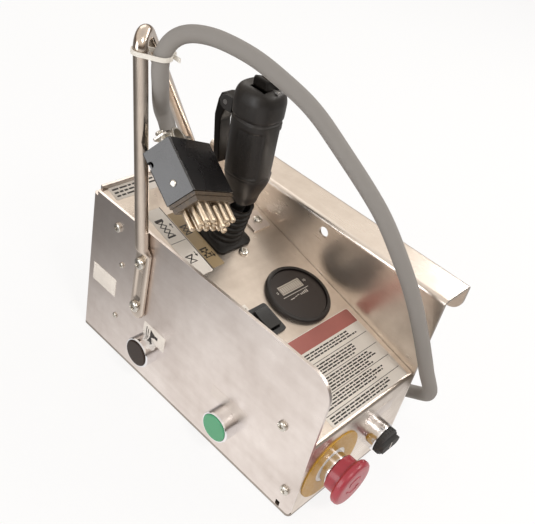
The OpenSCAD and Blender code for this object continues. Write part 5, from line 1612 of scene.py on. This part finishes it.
@dataclass
class Joystick:
    """The stick's grip, trigger, thumb rocker and rubber bellows."""
    height: float = 101.0
    half_x: float = 16.5
    half_y: float = 17.5
    roundness: float = 0.72
    around: int = 128
    rows: int = 190
    panels_at: Pair = (214.0, -34.0)
    panel_half: Pair = (32.0, 35.0)
    panel_z: Pair = (27.5, 67.0)
    panel_rise: float = 1.2
    panel_deep: float = 0.85
    seam_z: float = 25.5
    seam_w: float = 0.5
    seam_deep: float = 0.35
    boot_flange: float = 37.5
    boot_corner: float = 6.0
    boot_d: float = 31.0
    boot_top_d: float = 23.0
    boot_base: float = 15.0
    boot_ribs: int = 7
    boot_rib_deep: float = 2.6
    trigger_w: float = 12.0
    trigger_y: float = 26.0
    trigger_z: float = 75.0
    thumb_y: float = -4.0
    thumb_l: float = 14.0
    thumb_w: float = 17.0
    thumb_t: float = 8.0
    thumb_deep: float = 3.0
    well_deep: float = 6.0

    def table(self) -> list[Point]:
        """The grip's outline, as in the part's source.

        Returns:
            Its heights and its half widths there.
        """
        h, a, b = self.height, self.half_x, self.half_y
        rows = [(0, .56, .56), (.02, .60, .60), (.07, .66, .66), (.16, .86, .86), (.23, .97, .97),
                (.31, 1, 1), (.52, 1.02, 1.01), (.70, 1.03, 1.03), (.712, 1.02, 1.02),
                (.719, .975, .975), (.735, .975, .975), (.742, 1.04, 1.04), (.76, 1.055, 1.055),
                (.86, 1.07, 1.06), (.905, 1.02, 1.015), (.94, .93, .94), (.96, .82, .84),
                (.97, .72, .74), (.974, .60, .64)]
        return [(h * z, a * x, b * y) for z, x, y in rows]

    def sunk(self, turn: float, z: float) -> float:
        """How much of the textured panels' depth there is at a place on the grip.

        Args:
            turn: the angle round the grip.
            z: the height on it.

        Returns:
            0 outside the panels, 1 inside and a smooth change between.
        """
        low, high = self.panel_z
        rise = smooth_step(z, low, low + self.panel_rise)
        rise *= 1 - smooth_step(z, high - self.panel_rise, high)
        found = 0.0
        for centre in (math.radians(a) for a in self.panels_at):
            off = abs(math.atan2(math.sin(turn - centre), math.cos(turn - centre)))
            side = 1 - smooth_step(off, *(math.radians(a) for a in self.panel_half))
            found = max(found, side * rise)
        return found

    def grip(self) -> bpy.types.Object:
        """The grip as a fine skin, with a ring groove, a seam and two sunk textured panels.

        Returns:
            The grip's object.
        """
        table = self.table()
        rings, mask = [], []
        for j in range(self.rows + 1):
            z = table[-1][0] * j / self.rows
            half_x, half_y = between(table, z)
            seam = math.exp(-((z - self.seam_z) / self.seam_w) ** 2) * self.seam_deep
            ring = []
            for i in range(self.around):
                a = math.tau * i / self.around
                c, s = math.cos(a), math.sin(a)
                x = half_x * math.copysign(abs(c) ** self.roundness, c)
                y = half_y * math.copysign(abs(s) ** self.roundness, s)
                sunk = self.sunk(a, z)
                push = self.panel_deep * sunk + seam
                n = Vector((x / half_x ** 2, y / half_y ** 2)).normalized()
                mask.append(smooth_step(sunk, 0.8, 1.0))
                ring.append(GRIP.at(x - n.x * push, y - n.y * push, z))
            rings.append(ring)
        made = Shape().loft(rings).object("grip_body", merge=1e-8)
        if len(made.data.vertices) == len(mask):
            textured = made.data.attributes.new("textured", "FLOAT", "POINT")
            textured.data.foreach_set("value", mask)
        return made

    def carve(self, made: bpy.types.Object) -> None:
        """Sinks the thumb rocker's well into the grip's head.

        Args:
            made: the grip.
        """
        outline = rounded(self.thumb_w + 4, self.thumb_l + 0.9, 1.0)
        well = Shape().prism(GRIP.moved(0, self.thumb_y, 0), outline, self.height - self.well_deep,
                             self.height + self.well_deep)
        cutter = well.object("thumb_well")
        cut = made.modifiers.new("well", "BOOLEAN")
        cut.operation, cut.object, cut.solver = "DIFFERENCE", cutter, "EXACT"
        apply_modifiers(made)
        bpy.data.objects.remove(cutter)

    def slab(self, name: str, at: Point, turn: Point, outline: Sequence[Pair],
             low: float, high: float) -> bpy.types.Object:
        """A piece with one outline all through, set in the grip's frame.

        Args:
            name: the object's name.
            at, turn: its own place in the grip's frame.
            outline: its outline.
            low, high: where it starts and ends.

        Returns:
            The object.
        """
        base = GRIP.matrix() @ Place(at, turn).matrix()
        rings = [[base @ (Vector((x, y, z)) * MM) for x, y in outline] for z in (low, high)]
        return Shape().loft(rings).object(name)

    def trigger(self) -> bpy.types.Object:
        """The long trigger behind the grip.

        Returns:
            The trigger's object.
        """
        k = self.trigger_w
        shares = ((-.42, .18), (-.3, .38), (.3, .44), (.72, .28), (.9, -.2), (1.05, -1.3), (1.02, -1.6),
                  (.62, -4.4), (.52, -4.6), (.22, -4.6), (.14, -4.4), (.46, -1.6), (.4, -1.2),
                  (.1, -.42), (-.25, -.38), (-.42, -.18))
        return self.slab("trigger_lever", (-k / 2, self.trigger_y, self.trigger_z), (90, 0, 90),
                         [(x * k, y * k) for x, y in shares], 0, k)

    def thumb(self) -> bpy.types.Object:
        """The wedge-shaped thumb rocker.

        Returns:
            The rocker's object.
        """
        w, t, d = self.thumb_w, self.thumb_t, self.thumb_deep
        outline = ((-w * .2, -d), (w * .2, -d), (w / 2, d / 2), (w / 2, t * .95), (w * .42, t * 1.1),
                   (0, t * .85), (-w * .42, t * 1.1), (-w / 2, t * .95), (-w / 2, d / 2))
        return self.slab("thumb_wedge", (0, self.thumb_y, self.height - d - 0.5), (90, 0, 0), outline,
                         -self.thumb_l / 2, self.thumb_l / 2)

    def boot(self) -> bpy.types.Object:
        """The bellows with its square flange.

        Returns:
            Both as one mesh object.
        """
        lean = math.radians(STICK_LEAN - GRIP_LEAN)
        end = STICK_L - self.half_y * 0.62 * math.sin(lean) - 0.6
        tube = BELLOWS.run("bellows_tube", EMPTY, BOOT_RUBBER, Ribs=self.boot_ribs,
                           Length=(end - self.boot_base) * MM, Foot_radius=(self.boot_d / 2 - 0.1) * MM,
                           Top_radius=(self.boot_top_d / 2 - 0.1) * MM, Depth=self.boot_rib_deep * MM,
                           Base=self.boot_base * MM, Round=73, **where(STICK))
        here = PANEL.moved(*STICK_FOOT)
        side, corner = self.boot_flange, self.boot_corner
        rings = [[here.at(x, y, z) for x, y in rounded(side - 2 * inset, side - 2 * inset,
                                                       corner - inset * 0.5, 12)]
                 for inset, z in ((0.0, 0.0), (0.0, 2.2), (0.25, 2.7), (0.8, 3.0))]
        turns = [math.atan2(y, x) for x, y in rounded(side, side, corner, 12)]
        rings += [[here.at(r * math.cos(a), r * math.sin(a), z) for a in turns]
                  for r, z in ((16.6, 3.0), (15.9, 3.5), (14.5, 4.0))]
        plate = finish_piece(Shape().loft(rings).object("bellows_flange"), BOOT_RUBBER)
        return join("stick_bellows", [tube, plate])

    def build(self) -> None:
        """Makes the stick's pieces."""
        grip = self.grip()
        self.carve(grip)
        finish_piece(grip, GRIP_RUBBER, sharp=45)
        place_on(grip, "stick", ["joystick_grip"])
        lever = finish_piece(self.trigger(), TRIGGER_BLACK, bevel=1.1, steps=4)
        place_on(lever, "trigger", ["joystick_trigger"])
        wedge = finish_piece(self.thumb(), TRIGGER_BLACK, bevel=0.9, steps=3)
        place_on(wedge, "thumb", ["thumb_rocker"])
        boot = self.boot()
        finish_piece(boot, BOOT_RUBBER, sharp=60)
        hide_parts("joystick_boot")
        tuple(STICK.at(0, 0, 16.0))
        tuple(STICK.at(0, 0, 50.0))
        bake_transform(boot)
        LOG.info("piece %s bends between enclosure and stick", boot.name)


@dataclass
class Buttons:
    """What the buttons carry beyond their CAD shapes: the stop head's arrows, ribs and marks."""
    stop_x: float = -29.5
    stop_z: float = 39.0
    select_x: float = 25.5
    select_z: float = 39.0
    head_top: float = 25.0
    arrow_r: Pair = (6.6, 8.6)
    arrow_turn: float = 110.0
    tip_r: Point = (5.2, 10.0, 7.6)
    tip_turn: float = 26.0
    arrow_z: Pair = (-0.3, 0.35)
    ring_r: Pair = (13.6, 16.4)
    ring_z: Pair = (0.55, 0.85)
    ribs: int = 26
    ribs_r: float = 11.7
    ribs_z: float = 13.4
    rib: Point = (0.9, 1.4, 3.6)
    knob_top: float = 19.4

    def arrows(self) -> bpy.types.Object:
        """Two raised curved arrows on the stop head, which show which way it turns.

        Returns:
            Both as one mesh object.
        """
        here = front(self.stop_x, self.stop_z)
        low, high = (self.head_top + z for z in self.arrow_z)
        inner, outer = self.arrow_r
        corners = ((inner, low), (outer, low), (outer - 0.2, high), (inner + 0.2, high))
        shape = Shape()
        for start in (20, 200):
            turns = [math.radians(start + self.arrow_turn * i / 24) for i in range(25)]
            shape.loft([[here.at(r * math.cos(a), r * math.sin(a), z) for r, z in corners] for a in turns])
            end = start + self.arrow_turn
            tips = [math.radians(a) for a in (end, end, end + self.tip_turn)]
            shape.prism(here, [(r * math.cos(a), r * math.sin(a)) for r, a in zip(self.tip_r, tips)],
                        low, high)
        return finish_piece(shape.object("stop_arrows", merge=1e-9), RED, sharp=30)

    def build(self) -> None:
        """Makes the small pieces on the buttons."""
        place_on(self.arrows(), "estop_knob")
        (inner, outer), (low, high) = self.ring_r, self.ring_z
        profile = ((inner, low), (outer, low), (outer, high), (inner, high), (inner, low))
        ring = Shape().lathe(front(self.stop_x, self.stop_z), profile, 96, ends=False)
        place_on(finish_piece(ring.object("legend_ring", merge=1e-9), WHITE_RING), "enclosure")
        knob = front(self.select_x, self.select_z)
        flutes = RIBS.run("selector_ribs", EMPTY, SATIN_BLACK, Count=self.ribs, Radius=self.ribs_r * MM,
                          Rib=tuple(s * MM for s in self.rib), Height=self.ribs_z * MM, **where(knob))
        place_on(flutes, "selector")
        mark = Shape().prism(knob, rounded(1.3, 7.0, 0.5, 4), self.knob_top, self.knob_top + 0.22)
        place_on(finish_piece(mark.object("selector_mark"), WHITE_RING), "selector")


NODE_FINISHES: dict[str, Finish] = {
    "side_shell": PLATE, "hook_plate": HOOK_SHEET_LIT, "bottom_cover": BASE_SHEET, "control_panel": PANEL_SHEET,
    "handle_nuts": ZINC, "bottom_screws": ZINC, "joystick_body": SATIN_BLACK, "joystick_strap": PLATE,
    "joystick_shaft": STEEL_PIN, "joystick_pin": STEEL_PIN, "trigger_bracket": SATIN_BLACK,
    "trigger_pin": STEEL_PIN, "thumb_pin": STEEL_PIN, "gauge_case": CASE_BLACK, "gauge_lens": DIAL_BLACK,
    "gauge_clamp": ZINC, "rocker_frame": SATIN_BLACK, "rocker_paddle": GLOSS_BLACK, "horn_bezel": CHROME,
    "horn_cap": HORN_BROWN, "horn_block": DARK_INSIDE, "enable_bezel": CHROME, "enable_cap": GREEN,
    "enable_block": DARK_INSIDE, "estop_legend": YELLOW, "estop_collar": CHROME,
    "estop_plunger": SATIN_BLACK, "estop_head": RED, "estop_block": DARK_INSIDE,
    "selector_bezel": CHROME, "selector_knob": SATIN_BLACK, "selector_block": DARK_INSIDE,
    "cable_gland": SATIN_BLACK, "gland_nut": SATIN_BLACK, "plug_cap": CAP_PAINT, "plug_insulator": FIBRE,
    "plug_screws": ZINC, "control_board": BOARD, "board_standoffs": ZINC, "terminal_strip": DARK_INSIDE}


def dress_nodes() -> None:
    """Gives every CAD node that stays in sight its finish."""
    for name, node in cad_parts.items():
        finish = NODE_FINISHES.get(name, DARK_INSIDE)
        node.data.materials.clear()
        node.data.materials.append(finish.build())
        LOG.info("node %s in %s", name, finish.name)


# The studio


@dataclass(frozen=True)
class Lamp:
    """A soft lamp that looks at the object, with its place and size in metres and its watts."""
    name: str
    at: Point
    size: Pair
    power: float
    colour: Point
    aim: Point = (0.0, 0.0, 0.1)

    def build(self) -> None:
        """Sets the lamp up."""
        data = bpy.data.lights.new(self.name, "AREA")
        data.shape = "RECTANGLE"
        data.size, data.size_y = self.size
        data.energy, data.color = self.power, self.colour
        made = stand(self.name, data)
        made.location = self.at
        made.rotation_euler = (Vector(self.aim) - Vector(self.at)).to_track_quat("-Z", "Y").to_euler()


LAMPS = (Lamp("key", (-0.3, -0.85, 1.3), (0.3, 0.3), 6.5, (1.0, 0.97, 0.94)),
         Lamp("side", (-1.35, 0.26, 0.42), (0.8, 0.8), 7.2, (0.97, 0.98, 1.0)),
         Lamp("strip", (1.0, -0.42, 0.92), (1.5, 0.22), 7.5, (1.0, 0.98, 0.96)),
         Lamp("rim", (0.5, 1.1, 1.0), (0.8, 0.8), 2.4, (1.0, 0.97, 0.94)))


@dataclass
class Studio:
    """The floor, the room and the camera; the camera's place and axes are those of the photograph."""
    at: Point = (-0.394427, -0.291152, 0.501589)
    right: Point = (0.684417, -0.702113, 0.196498)
    down: Point = (-0.327946, -0.537168, -0.777111)
    ahead: Point = (0.651172, 0.467428, -0.597902)
    lens: float = 51.622
    sensor: float = 36.0
    floor_size: float = 40.0
    floor_z: float = -0.0004
    floor_shown: float = 0.84
    band_way: Point = (-0.812, -0.5835, 0.0)
    close: float = 1.08
    far: Pair = (0.11, 0.33)
    behind: Pair = (-0.06, 0.2)
    behind_share: float = 0.66

    def camera(self) -> None:
        """The camera, standing where the photograph was taken from."""
        data = bpy.data.cameras.new("camera")
        data.lens, data.sensor_width, data.sensor_fit = self.lens, self.sensor, "HORIZONTAL"
        data.clip_start, data.clip_end = 0.01, 50.0
        made = stand("camera", data)
        axes = Matrix((Vector(self.right), -Vector(self.down), -Vector(self.ahead))).transposed()
        made.matrix_world = Matrix.Translation(Vector(self.at)) @ axes.to_4x4()
        bpy.context.scene.camera = made

    def table_light(self, nodes: Nodes) -> bpy.types.NodeSocket:
        """How bright the floor is where metal mirrors it: bright close by, banded further out.

        Args:
            nodes: the floor's tree.

        Returns:
            The strength socket.
        """
        def ease(value: bpy.types.NodeSocket, source: Pair, last: Pair) -> bpy.types.NodeSocket:
            """A number moved smoothly from one range to another."""
            return nodes.add("ShaderNodeMapRange", {"interpolation_type": "SMOOTHSTEP"}, s0=value,
                             s1=source[0], s2=source[1], s3=last[0], s4=last[1]).outputs[0]
        flat = nodes.vector("MULTIPLY", nodes.add("ShaderNodeTexCoord").outputs["Object"], (1, 1, 0))
        reach = nodes.add("ShaderNodeVectorMath", {"operation": "LENGTH"}, s0=flat).outputs["Value"]
        facing = nodes.add("ShaderNodeVectorMath", {"operation": "DOT_PRODUCT"}, s0=flat,
                           s1=self.band_way).outputs["Value"]
        share = nodes.math("ABSOLUTE", nodes.math("DIVIDE", facing, nodes.math("ADD", reach, 0.001)))
        band = nodes.math("MULTIPLY_ADD", nodes.math("POWER", share, 1.6), 0.74, 0.26)
        less = nodes.math("MULTIPLY", ease(reach, self.far, (0.0, 1.0)),
                          nodes.math("SUBTRACT", self.close, band))
        along = nodes.add("ShaderNodeSeparateXYZ", s0=flat).outputs[1]
        return nodes.math("MULTIPLY", nodes.math("SUBTRACT", self.close, less),
                          ease(along, self.behind, (1.0, self.behind_share)))

    def floor(self) -> None:
        """A wide pale floor that keeps a soft shadow."""
        half = self.floor_size / 2
        mesh = bpy.data.meshes.new("floor")
        corners = ((-half, -half), (half, -half), (half, half), (-half, half))
        mesh.from_pydata([(x, y, self.floor_z) for x, y in corners], [], [(0, 1, 2, 3)])
        made = stand("floor", mesh)
        paint = bpy.data.materials.new("floor_paint")
        paint.use_nodes = True
        nodes = Nodes(paint.node_tree)
        paint.node_tree.nodes.clear()
        matt = nodes.add("ShaderNodeBsdfDiffuse", Color=srgb(250, 248, 246))
        glow = nodes.add("ShaderNodeEmission", Color=(1, 1, 1, 1), Strength=1.0)
        path = nodes.add("ShaderNodeLightPath")
        shown = nodes.math("MULTIPLY", path.outputs["Is Camera Ray"], self.floor_shown)
        both = nodes.add("ShaderNodeMixShader", s0=shown, s1=matt.outputs[0], s2=glow.outputs[0])
        mirrored = nodes.add("ShaderNodeEmission", Color=(1.0, 0.962, 0.932, 1),
                             Strength=self.table_light(nodes))
        bright = nodes.math("MAXIMUM", path.outputs["Is Glossy Ray"], path.outputs["Is Transmission Ray"])
        last = nodes.add("ShaderNodeMixShader", s0=bright, s1=both.outputs[0], s2=mirrored.outputs[0])
        out = nodes.add("ShaderNodeOutputMaterial")
        paint.node_tree.links.new(last.outputs[0], out.inputs[0])
        mesh.materials.append(paint)

    def world(self) -> None:
        """A pale room: light below and at the sides, greyer overhead."""
        made = bpy.data.worlds.new("studio")
        made.use_nodes = True
        bpy.context.scene.world = made
        nodes = Nodes(made.node_tree)
        made.node_tree.nodes.clear()
        way = nodes.add("ShaderNodeTexCoord").outputs["Generated"]
        split = nodes.add("ShaderNodeSeparateXYZ", s0=way)
        rise = nodes.spread(split.outputs[2], 0.0, 1.0, (-0.1, 1.0))
        shade = nodes.ramp(rise, [(0.0, srgb(190, 180, 170)), (0.14, srgb(92, 82, 74)),
                                  (0.30, srgb(120, 108, 98)), (0.50, srgb(248, 236, 222)),
                                  (0.68, srgb(250, 242, 231)), (0.82, srgb(250, 242, 232)),
                                  (1.0, srgb(236, 230, 224))])
        path = nodes.add("ShaderNodeLightPath")
        back = nodes.add("ShaderNodeBackground", Color=shade,
                         Strength=nodes.spread(path.outputs["Is Glossy Ray"], 0.6, 1.0))
        white = nodes.add("ShaderNodeBackground", Color=(1, 1, 1, 1), Strength=1.0)
        both = nodes.add("ShaderNodeMixShader", s0=path.outputs["Is Camera Ray"], s1=back.outputs[0],
                         s2=white.outputs[0])
        out = nodes.add("ShaderNodeOutputWorld")
        made.node_tree.links.new(both.outputs[0], out.inputs[0])

    def build(self) -> None:
        """Sets up the whole studio."""
        self.camera()
        self.floor()
        self.world()
        for lamp in LAMPS:
            lamp.build()
        bpy.context.scene.view_settings.view_transform = "Standard"


COPIES = copies_recipe()
BARS = bars_recipe()
BELLOWS = bellows_recipe()
RIBS = ribs_recipe()


def main() -> None:
    """Builds the studio and then the object's sub-assemblies in order."""
    logging.basicConfig(level=logging.INFO, format="%(name)s: %(message)s")
    Studio().build()
    Cable().build()
    dress_nodes()
    for assembly in (Handle(), Screws(), Labels(), Gauge(), Joystick(), Buttons()):
        LOG.info("building %s", type(assembly).__name__)
        assembly.build()


if __name__ == "__main__":
    main()
